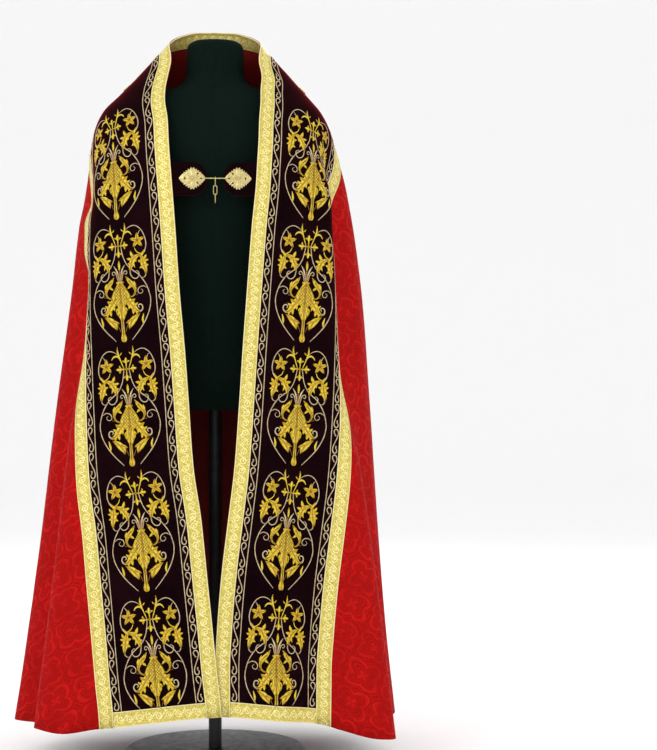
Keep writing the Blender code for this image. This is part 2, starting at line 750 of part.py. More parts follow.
def fringe(face):
    """Strands that hang from a narrow strip round the hood."""
    dense = np.linspace(FRINGE_START, 2, FRINGE_SAMPLES)
    half = np.array([hood_outline(t) for t in dense])
    out = np.array([hood_outward(t) for t in dense])
    path = np.concatenate([half * (-1, 1), half[::-1]])
    outward = np.concatenate([out * (-1, 1), out[::-1]])
    along = lengths_along(path)
    pitch = along[-1] / FRINGE_STRANDS
    ends = pitch * (1 - FRINGE_STRAND_SHARE) / 2
    places = [0.0]
    for strand in range(FRINGE_STRANDS):
        places += [strand * pitch + ends, (strand + 1) * pitch - ends]
    places = np.array(places + [along[-1]])
    x, down = (np.interp(places, along, path[:, i]) for i in (0, 1))
    nx, nd = (np.interp(places, along, outward[:, i]) for i in (0, 1))
    points, faces = [], []

    def row(offset):
        number = len(points)
        for i in range(len(places)):
            points.append(face.point(x[i] + offset * nx[i], down[i] + offset * nd[i]))
            high = face.point(x[i] + offset * nx[i], down[i] + offset * nd[i], CLOTH)
            points.append(high)
        return number

    inner, outer = row(2 * BUTT), row(2 * BUTT + FRINGE_HEAD)
    for i in range(len(places) - 1):
        a, b = 2 * i, 2 * i + 2
        faces.append((inner + a, inner + b, outer + b, outer + a))
        faces.append((inner + a + 1, outer + a + 1, outer + b + 1, inner + b + 1))
        faces.append((inner + a, inner + a + 1, inner + b + 1, inner + b))
        roots = [outer + a, outer + b, outer + b + 1, outer + a + 1]
        if i % 2 == 0:
            faces.append(tuple(roots))
            continue
        middle = (x[i] + x[i + 1]) / 2, (down[i] + down[i + 1]) / 2
        normal = (nx[i] + nx[i + 1]) / 2, (nd[i] + nd[i + 1]) / 2
        way = np.array([FRINGE_SLANT * normal[0], 1.0])
        way = way / np.hypot(*way)
        start = np.array(middle) + (2 * BUTT + FRINGE_HEAD) * np.array(normal)
        half_width = np.array([x[i + 1] - x[i], down[i + 1] - down[i]]) / 2
        for share, wide, body in FRINGE_RINGS:
            number = len(points)
            at = start + way * FRINGE_LENGTH * share
            for spread, raised in ((-1, 0), (1, 0), (1, body), (-1, body)):
                points.append(face.point(*(at + spread * wide * half_width), raised * FRINGE_BODY))
            ring = [number, number + 1, number + 2, number + 3]
            for k in range(4):
                faces.append((roots[k], roots[(k + 1) % 4], ring[(k + 1) % 4], ring[k]))
            roots = ring
        faces.append(tuple(roots))
    first, last = 0, 2 * (len(places) - 1)
    faces.append((inner + first, outer + first, outer + first + 1, inner + first + 1))
    faces.append((inner + last, inner + last + 1, outer + last + 1, outer + last))
    add_object("hood_fringe", points, [tuple(reversed(face)) for face in faces], "fringe")


# --- the clasp ---------------------------------------------------------------------------------


def front_point(x, height, out=0.0):
    """The point at x and height on the cloak's outer face in front, also across the opening."""
    side = np.where(x < 0, -1.0, 1.0)
    turn = 180 * side
    for _ in range(SOLVE_ROUNDS):
        radius = cloak_radius(turn, height) + out
        turn = side * (180 - np.degrees(np.arcsin(np.abs(x) / radius)))
    radius = cloak_radius(turn, height) + out
    return np.stack([x, radius * np.cos(np.radians(turn)), height + 0 * x], axis=-1)


def clasp_tab(name, side):
    """A velvet tab sewn under one front, with a round end towards the other."""
    up = np.linspace(-1, 1, TAB_ROWS)
    tip = TAB_GAP / 2 + TAB_ROUND * (1 - np.sqrt(np.clip(1 - np.abs(up) ** TAB_POWER, 0, 1)))
    height = TAB_HEIGHT + up * TAB_WIDTH / 2
    edge = through(
        column(FRONT_EDGE, FRONT_EDGE_COLUMNS, "height")[::-1],
        column(FRONT_EDGE, FRONT_EDGE_COLUMNS, "left" if side > 0 else "right")[::-1],
        height,
    )
    share = np.linspace(0, 1, TAB_CELLS + 1)
    across = tip[:, None] + (edge[:, None] + TAB_UNDER - tip[:, None]) * share
    points = front_point(side * across, height[:, None] + 0 * across, -CLOTH - TAB_CLEAR)
    if side < 0:
        points = points[:, ::-1]
    ids = np.arange(across.size).reshape(across.shape)
    flat = points.reshape(-1, 3)
    faces = grid_faces(ids)
    wall(name, flat, point_normals(flat, faces), faces, -TAB_THICK, 0, "velvet")


def clasp_plate(name, side):
    """A gilt plate, a rhombus with a toothed edge, a little domed."""
    angle = 2 * np.pi * np.arange(PLATE_POINTS) / PLATE_POINTS
    across, up = np.cos(angle), np.sin(angle)
    reach = (np.abs(across) ** PLATE_ROUND + np.abs(up) ** PLATE_ROUND) ** (-1 / PLATE_ROUND)
    teeth = 1 - PLATE_TOOTH * (np.arange(PLATE_POINTS) % 2)
    centre = side * (TAB_GAP / 2 + PLATE_FROM_TIP + PLATE_LENGTH / 2)
    rings = []
    for share, lift in ((1.0, 0.0), (1.0, PLATE_THICK), (PLATE_RING, PLATE_THICK + PLATE_DOME)):
        grown = share * reach * (teeth if share == 1 else 1)
        x = centre - side * grown * across * PLATE_LENGTH / 2
        height = TAB_HEIGHT + grown * up * PLATE_WIDTH / 2
        rings.append(front_point(x, height, -CLOTH - TAB_CLEAR + PLATE_CLEAR + lift))
    crown = -CLOTH - TAB_CLEAR + PLATE_CLEAR + PLATE_THICK + PLATE_DOME
    top = front_point(np.array([centre]), TAB_HEIGHT, crown)
    points = np.concatenate([*rings, top])
    count = PLATE_POINTS
    faces = [tuple(range(count))]
    for i in range(count):
        j = (i + 1) % count
        faces.append((i, i + count, j + count, j))
        faces.append((i + count, i + 2 * count, j + 2 * count, j + count))
        faces.append((i + 2 * count, 3 * count, j + 2 * count))
    if side < 0:
        faces = [tuple(reversed(face)) for face in faces]
    add_object(name, points, faces, "gilt")


def tube(name, path, radius, sides, closed, finish):
    """A round tube along a flat path, closed on itself or capped at its ends."""
    path = np.array(path, float)
    ahead = np.roll(path, -1, axis=0) - np.roll(path, 1, axis=0)
    if not closed:
        ahead[0], ahead[-1] = path[1] - path[0], path[-1] - path[-2]
    ahead = unit(ahead)
    flat = np.cross(path[1] - path[0], path[len(path) // 2] - path[0])
    if np.linalg.norm(flat) < 1e-12:
        flat = np.array([0.0, 1.0, 0.0])
    flat = np.broadcast_to(unit(flat), ahead.shape)
    out = np.cross(flat, ahead)
    angle = 2 * np.pi * np.arange(sides) / sides
    ring = np.cos(angle)[:, None] * flat[:, None] + np.sin(angle)[:, None] * out[:, None]
    points = (path[:, None] + radius * ring).reshape(-1, 3)
    count = len(path)
    faces = []
    for i in range(count if closed else count - 1):
        for k in range(sides):
            a, b = i * sides, (i + 1) % count * sides
            n = (k + 1) % sides
            faces.append((a + k, b + k, b + n, a + n))
    if not closed:
        faces.append(tuple(range(sides)))
        faces.append(tuple(reversed(range((count - 1) * sides, count * sides))))
    return add_object(name, points, faces, finish)


def clasp_bar():
    """The bar that joins the plates, and the short chain that hangs from it."""
    tip = TAB_GAP / 2 + PLATE_FROM_TIP + BAR_OVER
    plate_top = -CLOTH - TAB_CLEAR + PLATE_CLEAR + PLATE_THICK
    depth = front_point(np.array([tip]), TAB_HEIGHT, plate_top)[0, 1] - BAR_RADIUS - BAR_CLEAR
    ends = [(-tip, depth, TAB_HEIGHT), (0, depth, TAB_HEIGHT), (tip, depth, TAB_HEIGHT)]
    tube("clasp_bar", ends, BAR_RADIUS, 12, False, "gilt")
    top = TAB_HEIGHT + BAR_RADIUS + SEAM + 2 * LINK_WIRE
    step = LINK_LENGTH - 4 * LINK_WIRE - SEAM
    for link in range(LINKS):
        middle = top - LINK_LENGTH / 2 - link * step
        half = LINK_LENGTH / 2 - LINK_WIDTH / 2
        path = []
        for k in range(LINK_POINTS):
            angle = 2 * np.pi * (k + 0.5) / LINK_POINTS
            out = (LINK_WIDTH / 2 - LINK_WIRE) * np.cos(angle)
            up = (LINK_WIDTH / 2 - LINK_WIRE) * np.sin(angle) + half * np.sign(np.sin(angle))
            side = (out, 0) if link % 2 else (0, out)
            path.append((side[0], depth + side[1], middle + up))
        tube(f"pendant_link_{link + 1}", path, LINK_WIRE, LINK_SIDES, True, "gilt")


# --- the dress form ----------------------------------------------------------------------------


def form_radius(turn, height):
    heights = column(FORM, FORM_COLUMNS, "height")
    side, back, front = (
        through(heights, column(FORM, FORM_COLUMNS, name), height) for name in FORM_COLUMNS[1:]
    )
    own = oval_radius(turn, FORM_SQUARE, side, side, back, front)
    step = MM
    slope = (cloak_radius(turn, height + step) - cloak_radius(turn, height - step)) / (2 * step)
    lining = cloak_radius(turn, height) - (CLOTH + FORM_CLEAR) * np.sqrt(1 + slope**2)
    return np.minimum(own, lining)


def dress_form():
    """The torso with its neck, the pole and the round base."""
    heights = column(FORM, FORM_COLUMNS, "height")
    below = np.linspace(heights[0], FORM_WAIST, FORM_LOW_ROWS)
    above = np.linspace(FORM_WAIST, FORM_NECK, FORM_SHOULDER_ROWS)[1:]
    height = np.concatenate([below, above, [FORM_NECK_MIDDLE], heights[-3:]])
    turn = 360 * np.arange(FORM_SEGMENTS) / FORM_SEGMENTS
    turn, height = np.meshgrid(turn, height)
    radius = form_radius((turn + 180) % 360 - 180, height)
    angle = np.radians(turn)
    points = np.stack([radius * np.sin(angle), radius * np.cos(angle), height], axis=-1)
    rows, sides = turn.shape
    faces = []
    for i in range(rows - 1):
        for j in range(sides):
            a, b, n = i * sides, (i + 1) * sides, (j + 1) % sides
            faces.append((a + j, b + j, b + n, a + n))
    faces.append(tuple(range(sides)))
    faces.append(tuple(reversed(range((rows - 1) * sides, rows * sides))))
    add_object("form_torso", points.reshape(-1, 3), faces, "jersey")
    pole_foot, pole_top = BASE_THICK + SEAM, FORM[0][0] - SEAM
    pole = [(0, 0, pole_foot), (0, 0, (pole_foot + pole_top) / 2), (0, 0, pole_top)]
    tube("stand_pole", pole, POLE_RADIUS, ROUND_SIDES // 2, False, "steel")
    disc = [(0, 0, 0), (0, 0, BASE_THICK / 2), (0, 0, BASE_THICK)]
    base = tube("stand_base", disc, BASE_RADIUS, ROUND_SIDES, False, "steel")
    bevel = base.modifiers.new("round edge", "BEVEL")
    bevel.width = BASE_BEVEL
    bevel.segments = 2
    bevel.limit_method = "ANGLE"


def main():
    for old in list(bpy.data.objects):
        bpy.data.objects.remove(old)
    band = cloak()
    hood(band)
    for name, side in (("right", -1), ("left", 1)):
        clasp_tab(f"clasp_tab_{name}", side)
        clasp_plate(f"clasp_plate_{name}", side)
    clasp_bar()
    dress_form()


main()
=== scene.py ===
from functools import partial
import bpy
import numpy as np
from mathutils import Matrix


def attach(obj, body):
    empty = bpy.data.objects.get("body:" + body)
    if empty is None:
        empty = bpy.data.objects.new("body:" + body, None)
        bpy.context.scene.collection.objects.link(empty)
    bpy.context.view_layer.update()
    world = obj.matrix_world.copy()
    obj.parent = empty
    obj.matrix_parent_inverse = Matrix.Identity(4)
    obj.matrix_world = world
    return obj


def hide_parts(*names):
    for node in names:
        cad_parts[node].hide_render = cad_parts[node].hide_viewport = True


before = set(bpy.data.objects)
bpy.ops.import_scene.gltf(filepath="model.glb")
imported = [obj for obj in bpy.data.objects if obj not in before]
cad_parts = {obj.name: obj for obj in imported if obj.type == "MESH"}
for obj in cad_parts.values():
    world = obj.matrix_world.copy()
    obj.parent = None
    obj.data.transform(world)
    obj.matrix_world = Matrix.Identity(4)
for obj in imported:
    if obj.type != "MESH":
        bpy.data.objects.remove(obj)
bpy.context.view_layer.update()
print("frame loaded")

mm = 0.001
settleSteps = 30  # enough rounds for a point found step by step to stop moving


def smoothStep(share):  # a soft S from 0 to 1: three times the square less twice the cube
    share = np.clip(share, 0, 1)
    return share * share * (3 - 2 * share)


def throughPoints(x, y, at):
    # a smooth curve through (x, y) that never overshoots: a cubic between each two points, whose slope
    # at a point is the harmonic mean of the two chords there, or level where the curve turns back
    x, y = np.asarray(x, float), np.asarray(y, float)
    step = np.diff(x)
    chord = np.diff(y) / step
    slope = np.concatenate([chord[:1], np.zeros(len(x) - 2), chord[-1:]])
    same = chord[:-1] * chord[1:] > 0
    slope[1:-1][same] = 2 / (1 / chord[:-1][same] + 1 / chord[1:][same])
    at = np.clip(at, x[0], x[-1])
    i = np.clip(np.searchsorted(x, at) - 1, 0, len(x) - 2)
    t = (at - x[i]) / step[i]
    ends = y[i] * (1 + 2 * t) * (1 - t) ** 2 + y[i + 1] * t * t * (3 - 2 * t)
    return ends + step[i] * t * (1 - t) * (slope[i] * (1 - t) - slope[i + 1] * t)


def unitVectors(vectors):  # each vector over its length
    return vectors / np.maximum(np.linalg.norm(vectors, axis=-1, keepdims=True), 1e-12)


def alongLine(points):  # distance along a line of points: the sum of the steps up to each
    steps = np.linalg.norm(np.diff(points, axis=0), axis=-1)
    return np.concatenate([np.zeros_like(steps[:1]), np.cumsum(steps, axis=0)])


def onTable(table, row, place):  # value between four entries of a table, weighted by nearness both ways
    row = np.clip(row, 0, table.shape[0] - 1.001)
    place = np.clip(place, 0, table.shape[1] - 1.001)
    i, j = row.astype(int), place.astype(int)
    r, p = row - i, place - j
    low = table[i, j] * (1 - p) + table[i, j + 1] * p
    return low * (1 - r) + (table[i + 1, j] * (1 - p) + table[i + 1, j + 1] * p) * r


def pairUp(first, second):  # two arrays as one of pairs
    return np.stack(np.broadcast_arrays(first, second), axis=-1)


def tableColumn(rows, place):
    return np.array([row[place] for row in rows], float)


def ovalRadius(turn, width, back, front, square):
    # superellipse: the sum of |sine / width| and |cosine / depth|, each to the power square,
    # to the power -1 / square; its depth is back or front, whichever side the turn is on
    side, behind = np.sin(np.radians(turn)), np.cos(np.radians(turn))
    depth = np.where(behind > 0, back, front)
    return (np.abs(side / width) ** square + np.abs(behind / depth) ** square) ** (-1 / square)


def aroundAxis(radius, angle, height):  # the angle goes from the back (+Y) towards the wearer's left (+X)
    return np.stack([radius * np.sin(angle), radius * np.cos(angle), height + 0 * angle], axis=-1)


def numbered(*shape):  # point numbers in rows and columns
    return np.arange(np.prod(shape)).reshape(shape)


def closedRound(ids):  # with the first column again after the last
    return np.concatenate([ids, ids[..., :1]], axis=-1)


def fourSided(ids):  # faces between the rows and columns of a grid of point numbers
    corners = (ids[..., :-1, :-1], ids[..., :-1, 1:], ids[..., 1:, 1:], ids[..., 1:, :-1])
    return np.stack(corners, axis=-1).reshape(-1, 4)


def addMesh(name, points, faces, finishes):  # faces is a list of arrays, one for each number of corners
    mesh = bpy.data.meshes.new(name)
    mesh.from_pydata(points.reshape(-1, 3), [], [face for group in faces for face in group.tolist()])
    for finish in finishes:
        mesh.materials.append(finish)
    mesh.shade_smooth()
    made = bpy.data.objects.new(name, mesh)
    bpy.context.scene.collection.objects.link(made)
    return made


def addPiece(name, node, points, faces, finishes, uv=None, finishOf=None, sharp=None):
    made = addMesh(name, points, faces, finishes)
    mesh = made.data
    if sharp:
        mesh.set_sharp_from_angle(angle=np.radians(sharp))
    if finishOf is not None:
        mesh.polygons.foreach_set("material_index", finishOf.astype(np.int32))
    if uv is not None:
        corner = np.empty(len(mesh.loops), np.int32)
        mesh.loops.foreach_get("vertex_index", corner)
        layer = mesh.uv_layers.new(name="flatCut")
        layer.uv.foreach_set("vector", uv.reshape(-1, 2)[corner].astype(np.float32).ravel())
    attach(made, "root")
    if node:
        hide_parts(node)
    return made


def addShell(name, node, points, normals, low, high, finishes, uv, faces=None):
    # a closed sheet: the surface raised to high, its copy at low, and a rim along every open edge
    high = np.broadcast_to(high, points.shape[:-1]).reshape(-1, 1)
    faces = fourSided(numbered(*points.shape[:-1])) if faces is None else faces
    points, normals, uv = points.reshape(-1, 3), normals.reshape(-1, 3), uv.reshape(-1, 2)
    count = len(points)
    edges = np.concatenate([faces[:, [i - 1, i]] for i in range(4)])
    key, back = edges[:, 0] * count + edges[:, 1], edges[:, 1] * count + edges[:, 0]
    open_ = edges[~np.isin(key, back)]
    rim = np.stack([open_[:, 1], open_[:, 0], open_[:, 0] + count, open_[:, 1] + count], axis=-1)
    under = faces[:, [0, 3, 2, 1]] + count
    both = np.concatenate([points + high * normals, points + low * normals])
    finishOf = np.zeros(len(faces) * 2 + len(rim))
    finishOf[len(faces) :] = len(finishes) - 1
    every = np.concatenate([faces, under, rim])
    return addPiece(name, node, both, [every], finishes, np.concatenate([uv, uv]), finishOf)


def colour(code):  # sRGB hex to linear: (c + 0.055) / 1.055 to the power 2.4, or c / 12.92 near black
    parts = np.array([int(code[i : i + 2], 16) for i in (0, 2, 4)]) / 255
    linear = np.where(parts < 0.04045, parts / 12.92, ((parts + 0.055) / 1.055) ** 2.4)
    return (*linear, 1.0)


def setInputs(node, inputs):  # each is a value, another node (its first output) or an output
    for place, value in inputs.items():
        socket = node.inputs[place.replace("_", " ") if isinstance(place, str) else place]
        value = value.outputs[0] if isinstance(value, bpy.types.Node) else value
        if isinstance(value, bpy.types.NodeSocket):
            node.id_data.links.new(value, socket)
        else:
            socket.default_value = value


def addNode(tree, kind, settings=(), *inputs, **named):
    # settings is an operation or a dictionary, where "colours" gives a ramp's hex colours in even steps;
    # inputs come in their order or by name, with _ for a space
    node = tree.nodes.new("ShaderNode" + kind)
    settings = {"operation": settings} if isinstance(settings, str) else dict(settings)
    codes = settings.pop("colours", ())
    for _ in codes[2:]:
        node.color_ramp.elements.new(0.5)
    for i, code in enumerate(codes):
        element = node.color_ramp.elements[i]
        element.position, element.color = i / (len(codes) - 1), colour(code)
    for name, value in settings.items():
        setattr(node, name, value)
    setInputs(node, {**dict(enumerate(inputs)), **named})
    return node


def newFinish(name, **sockets):  # a material, its shader and addNode for its tree
    finish = bpy.data.materials.new(name)
    finish.use_nodes = True
    shader = finish.node_tree.nodes["Principled BSDF"]
    setInputs(shader, sockets)
    return finish, shader, partial(addNode, finish.node_tree)


# the cloak's face: a radius for each turn and height
cloak = {
    # height, wearer's right, left, back, front, squareness of the oval
    "sections": (
        (0.060, 0.370, 0.372, 0.292, 0.272, 3.05),
        (0.300, 0.349, 0.353, 0.266, 0.243, 2.95),
        (0.550, 0.332, 0.339, 0.238, 0.212, 2.80),
        (0.750, 0.318, 0.330, 0.218, 0.192, 2.60),
        (0.950, 0.302, 0.319, 0.199, 0.178, 2.45),
        (1.100, 0.290, 0.304, 0.186, 0.170, 2.35),
        (1.200, 0.280, 0.289, 0.177, 0.163, 2.30),
        (1.290, 0.265, 0.263, 0.167, 0.150, 2.25),
        (1.340, 0.254, 0.245, 0.159, 0.136, 2.20),
        (1.374, 0.238, 0.228, 0.152, 0.124, 2.10),
        (1.410, 0.203, 0.198, 0.142, 0.108, 2.00),
        (1.450, 0.164, 0.162, 0.128, 0.091, 2.00),
        (1.490, 0.128, 0.126, 0.112, 0.078, 2.00),
        (1.520, 0.101, 0.100, 0.099, 0.073, 2.00),
        (1.545, 0.087, 0.087, 0.090, 0.071, 2.00),
        (1.580, 0.072, 0.072, 0.082, 0.068, 2.00),
    ),
    # turn at the shoulder and at the hem, depth at the hem, height where the fold starts
    "folds": (
        (-156, -156, 0.000, 1.00),
        (-134, -138, 0.004, 1.25),
        (-113, -119, 0.042, 1.36),
        (-99, -102, -0.040, 1.36),
        (-85, -88, 0.060, 1.34),
        (-71, -72, -0.046, 1.30),
        (-58, -56, 0.034, 1.25),
        (-42, -40, -0.020, 1.05),
        (-24, -22, 0.012, 1.00),
        (-4, -5, -0.008, 0.95),
        (18, 16, 0.010, 1.00),
        (40, 37, -0.018, 1.05),
        (57, 54, 0.032, 1.25),
        (70, 71, -0.044, 1.30),
        (84, 87, 0.020, 1.34),
        (97, 102, -0.040, 1.36),
        (112, 119, 0.040, 1.36),
        (131, 138, -0.034, 1.30),
        (156, 156, 0.000, 1.00),
    ),
    "foldTop": 1.36,  # height where the folds' turns start to lean, and where they are at the hem's
    "foldFoot": 0.08,
    "foldEase": 1.25,
    "lap": {"depth": 9 * mm, "turn": (150, 172), "height": (0.44, 0.30)},
    # hollows at the sides of the fronts: height, turn, depth
    "hollows": {
        1: (
            (0.30, 110, 0.000),
            (0.60, 109, 0.014),
            (0.745, 109, 0.036),
            (0.83, 108, 0.050),
            (1.00, 105, 0.054),
            (1.10, 103, 0.052),
            (1.19, 101, 0.046),
            (1.26, 103, 0.026),
            (1.34, 104, 0.000),
        ),
        -1: (
            (0.70, 108, 0.000),
            (0.88, 105, 0.020),
            (1.00, 102, 0.020),
            (1.08, 100, 0.004),
            (1.13, 99, 0.004),
            (1.18, 97, 0.018),
            (1.28, 94, 0.000),
        ),
    },
    "hollowWidth": 9,  # degrees
    # turn and height round the neck, then height and distance from the middle down each front
    "neckEdge": (
        (0, 1.566),
        (28, 1.563),
        (54, 1.552),
        (78, 1.538),
        (96, 1.525),
        (109, 1.511),
        (118, 1.495),
        (124, 1.473),
        (127, 1.449),
    ),
    "frontEdge": (
        (1.412, 0.104, 0.095),
        (1.340, 0.098, 0.091),
        (1.260, 0.093, 0.087),
        (1.198, 0.088, 0.083),
        (1.120, 0.082, 0.075),
        (0.977, 0.072, 0.064),
        (0.868, 0.062, 0.056),
        (0.762, 0.054, 0.049),
        (0.627, 0.044, 0.039),
        (0.520, 0.028, 0.026),
        (0.415, 0.017, 0.013),
        (0.310, 0.006, 0.004),
        (0.220, -0.003, -0.001),
        (0.140, -0.012, -0.001),
        (0.060, -0.016, -0.001),
    ),
    "hem": (
        (-188, 0.128),
        (-180, 0.127),
        (-136, 0.103),
        (-127, 0.092),
        (-119, 0.097),
        (-102, 0.079),
        (-88, 0.077),
        (-56, 0.090),
        (0, 0.118),
        (54, 0.096),
        (87, 0.080),
        (102, 0.070),
        (117, 0.066),
        (124, 0.071),
        (131, 0.090),
        (136, 0.103),
        (180, 0.127),
        (188, 0.128),
    ),
    # small waves of the cloth: how many round the cloak, lean, depth, place
    "creases": (
        (23, 1.3, 0.0011, 0.4),
        (37, -2.1, 0.0008, 1.9),
        (61, 3.0, 0.0005, 4.1),
    ),
    "creaseDrift": (0.35, 5, 0.06),  # how far and how often they waver, and how much of it and the lean shows
    "creaseFade": (96, 14),  # from this turn they fade over so many degrees, so the stiff band stays smooth
    "creaseTop": (1.30, 0.5),  # they start at this height and take so much to grow
    "cloth": 1.6 * mm,
    "corner": 0.40,  # length along the edge where the neck's columns end and the fronts' rows start
    "columns": 100,
    "rows": 110,
    # steps in working the face out
    "walk": 2 * mm,
    "edgeStep": 4 * mm,
    "edgeSmooth": 72 * mm,
    "edgeSamples": 1200,
    "normalTurn": 0.4,
}
band = {
    "galloon": 31 * mm,
    "velvet": 185 * mm,
    "outer": 216 * mm,  # where the outer galloon starts
    "width": 247 * mm,
    "middle": 123.5 * mm,
    "lay": 0.3 * mm,  # height of an applied piece's underside over the cloth
    "velvetTop": 1.55 * mm,
    "velvetEdge": 0.9 * mm,
    # distances from the opening edge of the lines that cloth, velvet and cross lace are cut on
    "clothLines": np.array([0, 15, *np.linspace(31, 216, 25), 231, 247]) * mm,
    "velvetLines": np.linspace(36, 211, 24) * mm,
    "crossLines": np.linspace(33, 214, 46) * mm,
}


def sectionAt(place, height):
    return throughPoints(tableColumn(cloak["sections"], 0), tableColumn(cloak["sections"], place), height)


def foldOffset(turn, height):  # eases from each crest or trough to the next one round
    foot = cloak["foldFoot"]
    down = (cloak["foldTop"] - height) / (cloak["foldTop"] - foot)
    place, depth = [], []
    for top, hem, atHem, start in cloak["folds"]:
        place.append(top + (hem - top) * down)
        depth.append(atHem * np.clip((start - height) / (start - foot), 0, None) ** cloak["foldEase"])
    offset = 0
    for i in range(len(place) - 1):
        share = smoothStep((turn - place[i]) / (place[i + 1] - place[i]))
        offset = offset + (depth[i + 1] - depth[i]) * share
    return offset


def hollowOffset(turn, height):  # a bell-shaped trough across each side's turn
    offset = 0
    for side, rows in cloak["hollows"].items():
        heights = tableColumn(rows, 0)
        middle = side * throughPoints(heights, tableColumn(rows, 1), height)
        depth = throughPoints(heights, tableColumn(rows, 2), height)
        offset = offset + depth * np.exp(-(((turn - middle) / cloak["hollowWidth"]) ** 2))
    return offset


def lapOffset(turn, height):  # the wearer's left front passes under the right one low down
    lap = cloak["lap"]
    across = smoothStep((turn - lap["turn"][0]) / (lap["turn"][1] - lap["turn"][0]))
    down = smoothStep((height - lap["height"][0]) / (lap["height"][1] - lap["height"][0]))
    return lap["depth"] * across * down


def creaseOffset(turn, height):  # sine waves round the cloak that lean with height and grow downwards
    waver, often, lying = cloak["creaseDrift"]
    wave = 0
    angle = np.radians(turn)
    for count, lean, depth, place in cloak["creases"]:
        drift = lean * height + waver * np.sin(often * height + place)
        wave = wave + depth * np.sin(count * (angle + lying * drift) + place)
    fadeTurn, fadeWidth = cloak["creaseFade"]
    top, growth = cloak["creaseTop"]
    soft = 1 - smoothStep((np.abs(turn) - fadeTurn) / fadeWidth)
    return wave * soft * smoothStep((top - height) / growth)


def cloakRadius(turn, height, foldShare=1.0, creased=False):
    # superellipse of the section at this height, moved by folds, lap, hollows and creases
    square, right, left, back, front = (sectionAt(i, height) for i in (5, 1, 2, 3, 4))
    width = np.where(np.sin(np.radians(turn)) < 0, right, left)
    oval = ovalRadius(turn, width, back, front, square)
    moved = oval + foldShare * foldOffset(turn, height) - lapOffset(turn, height) - hollowOffset(turn, height)
    return moved + creaseOffset(turn, height) if creased else moved


def cloakPoint(turn, height, foldShare=1.0, lift=0.0, creased=False):
    return aroundAxis(cloakRadius(turn, height, foldShare, creased) + lift, np.radians(turn), height)


def cloakNormal(turn, height, creased=False):  # square to the steps a little way across and down
    step, point = cloak["normalTurn"], partial(cloakPoint, creased=creased)
    across = point(turn + step, height) - point(turn - step, height)
    down = point(turn, height - mm) - point(turn, height + mm)
    return unitVectors(np.cross(across, down))


def frontTurn(aside, height, side, out=0.0):
    # turn in front, on one side (1 is the wearer's left), of the point this far aside from the middle:
    # the half-turn less the angle whose sine is aside over the radius there, until it settles
    turn = np.float64(180) * side
    for _ in range(settleSteps):
        radius = cloakRadius(turn, height) + out
        turn = side * (180 - np.degrees(np.arcsin(aside / radius)))
    return turn


def edgeLine(side):  # turn and height along the opening edge, nape to below the hem, in even steps
    turns, heights = list(side * tableColumn(cloak["neckEdge"], 0)), list(tableColumn(cloak["neckEdge"], 1))
    for height, right, left in cloak["frontEdge"]:
        turns.append(frontTurn(left if side > 0 else right, height, side))
        heights.append(height)
    turns, heights = np.array(turns), np.array(heights)
    along = alongLine(cloakPoint(turns, heights))
    dense = np.linspace(0, along[-1], cloak["edgeSamples"])
    turn, height = throughPoints(along, turns, dense), throughPoints(along, heights, dense)
    true = alongLine(cloakPoint(turn, height))
    even = np.arange(0, true[-1], cloak["edgeStep"])
    return np.interp(even, true, turn), np.interp(even, true, height)


def walksFromEdge(side):  # straight walks over the cloth, square to the opening edge, step by step
    turn, height = edgeLine(side)
    edge = cloakPoint(turn, height)
    reach = round(cloak["edgeSmooth"] / cloak["edgeStep"])
    beyond = edge[-1] + np.arange(1, reach + 1)[:, None] * (edge[-1] - edge[-2])
    longer = np.concatenate([edge[reach:0:-1] * (-1, 1, 1), edge, beyond])
    tangent = unitVectors(longer[2 * reach :] - longer[: -2 * reach])
    heading = side * np.cross(cloakNormal(turn, height), tangent)
    turns, heights = [turn], [height]
    for _ in range(round(band["width"] / cloak["walk"])):
        normal = cloakNormal(turn, height)
        heading = unitVectors(heading - normal * np.sum(heading * normal, axis=-1, keepdims=True))
        place = cloakPoint(turn, height) + cloak["walk"] * heading
        change = np.degrees(np.arctan2(place[:, 0], place[:, 1])) - turn
        turn, height = turn + (change + 180) % 360 - 180, place[:, 2]
        turns.append(turn)
        heights.append(height)
    return np.array(turns), np.array(heights)


def hemHeight(turn):
    return throughPoints(tableColumn(cloak["hem"], 0), tableColumn(cloak["hem"], 1), turn)


walks = {side: walksFromEdge(side) for side in (-1, 1)}  # turns and heights, by step and by place on the edge


def bandLine(side, distance):  # turn, height and length on a line this far from the edge, its corner and end
    step = np.full(walks[side][0].shape[1], distance / cloak["walk"])
    place = np.arange(len(step), dtype=float)
    turn, height = (onTable(table, step, place) for table in walks[side])
    along = alongLine(cloakPoint(turn, height))
    above = height - hemHeight(turn)
    last = int(np.argmax(above < 0))
    end = np.interp(0, [above[last], above[last - 1]], [along[last], along[last - 1]])
    corner = np.interp(cloak["corner"], cloak["edgeStep"] * place, along)
    return turn, height, along, corner, end


def bandSide(side, distances):  # turn and height on lines, each cut in the same stations
    grid = []
    for distance in distances:
        turn, height, along, corner, end = bandLine(side, distance)
        half = band["galloon"] / 2
        columns = half + (corner - half) * np.arange(cloak["columns"]) / (cloak["columns"] - 1)
        rows = corner + (end - band["galloon"] - corner) * np.arange(1, cloak["rows"] + 1) / cloak["rows"]
        places = np.concatenate([[0], columns, rows, [end]])
        grid.append((np.interp(places, along, turn), np.interp(places, along, height)))
    return np.array(grid).transpose(1, 0, 2)


def bandGrid(distances):  # both sides, from the wearer's right hem round the neck to the left hem
    return np.concatenate([bandSide(-1, distances)[:, :, :0:-1], bandSide(1, distances)], axis=2)


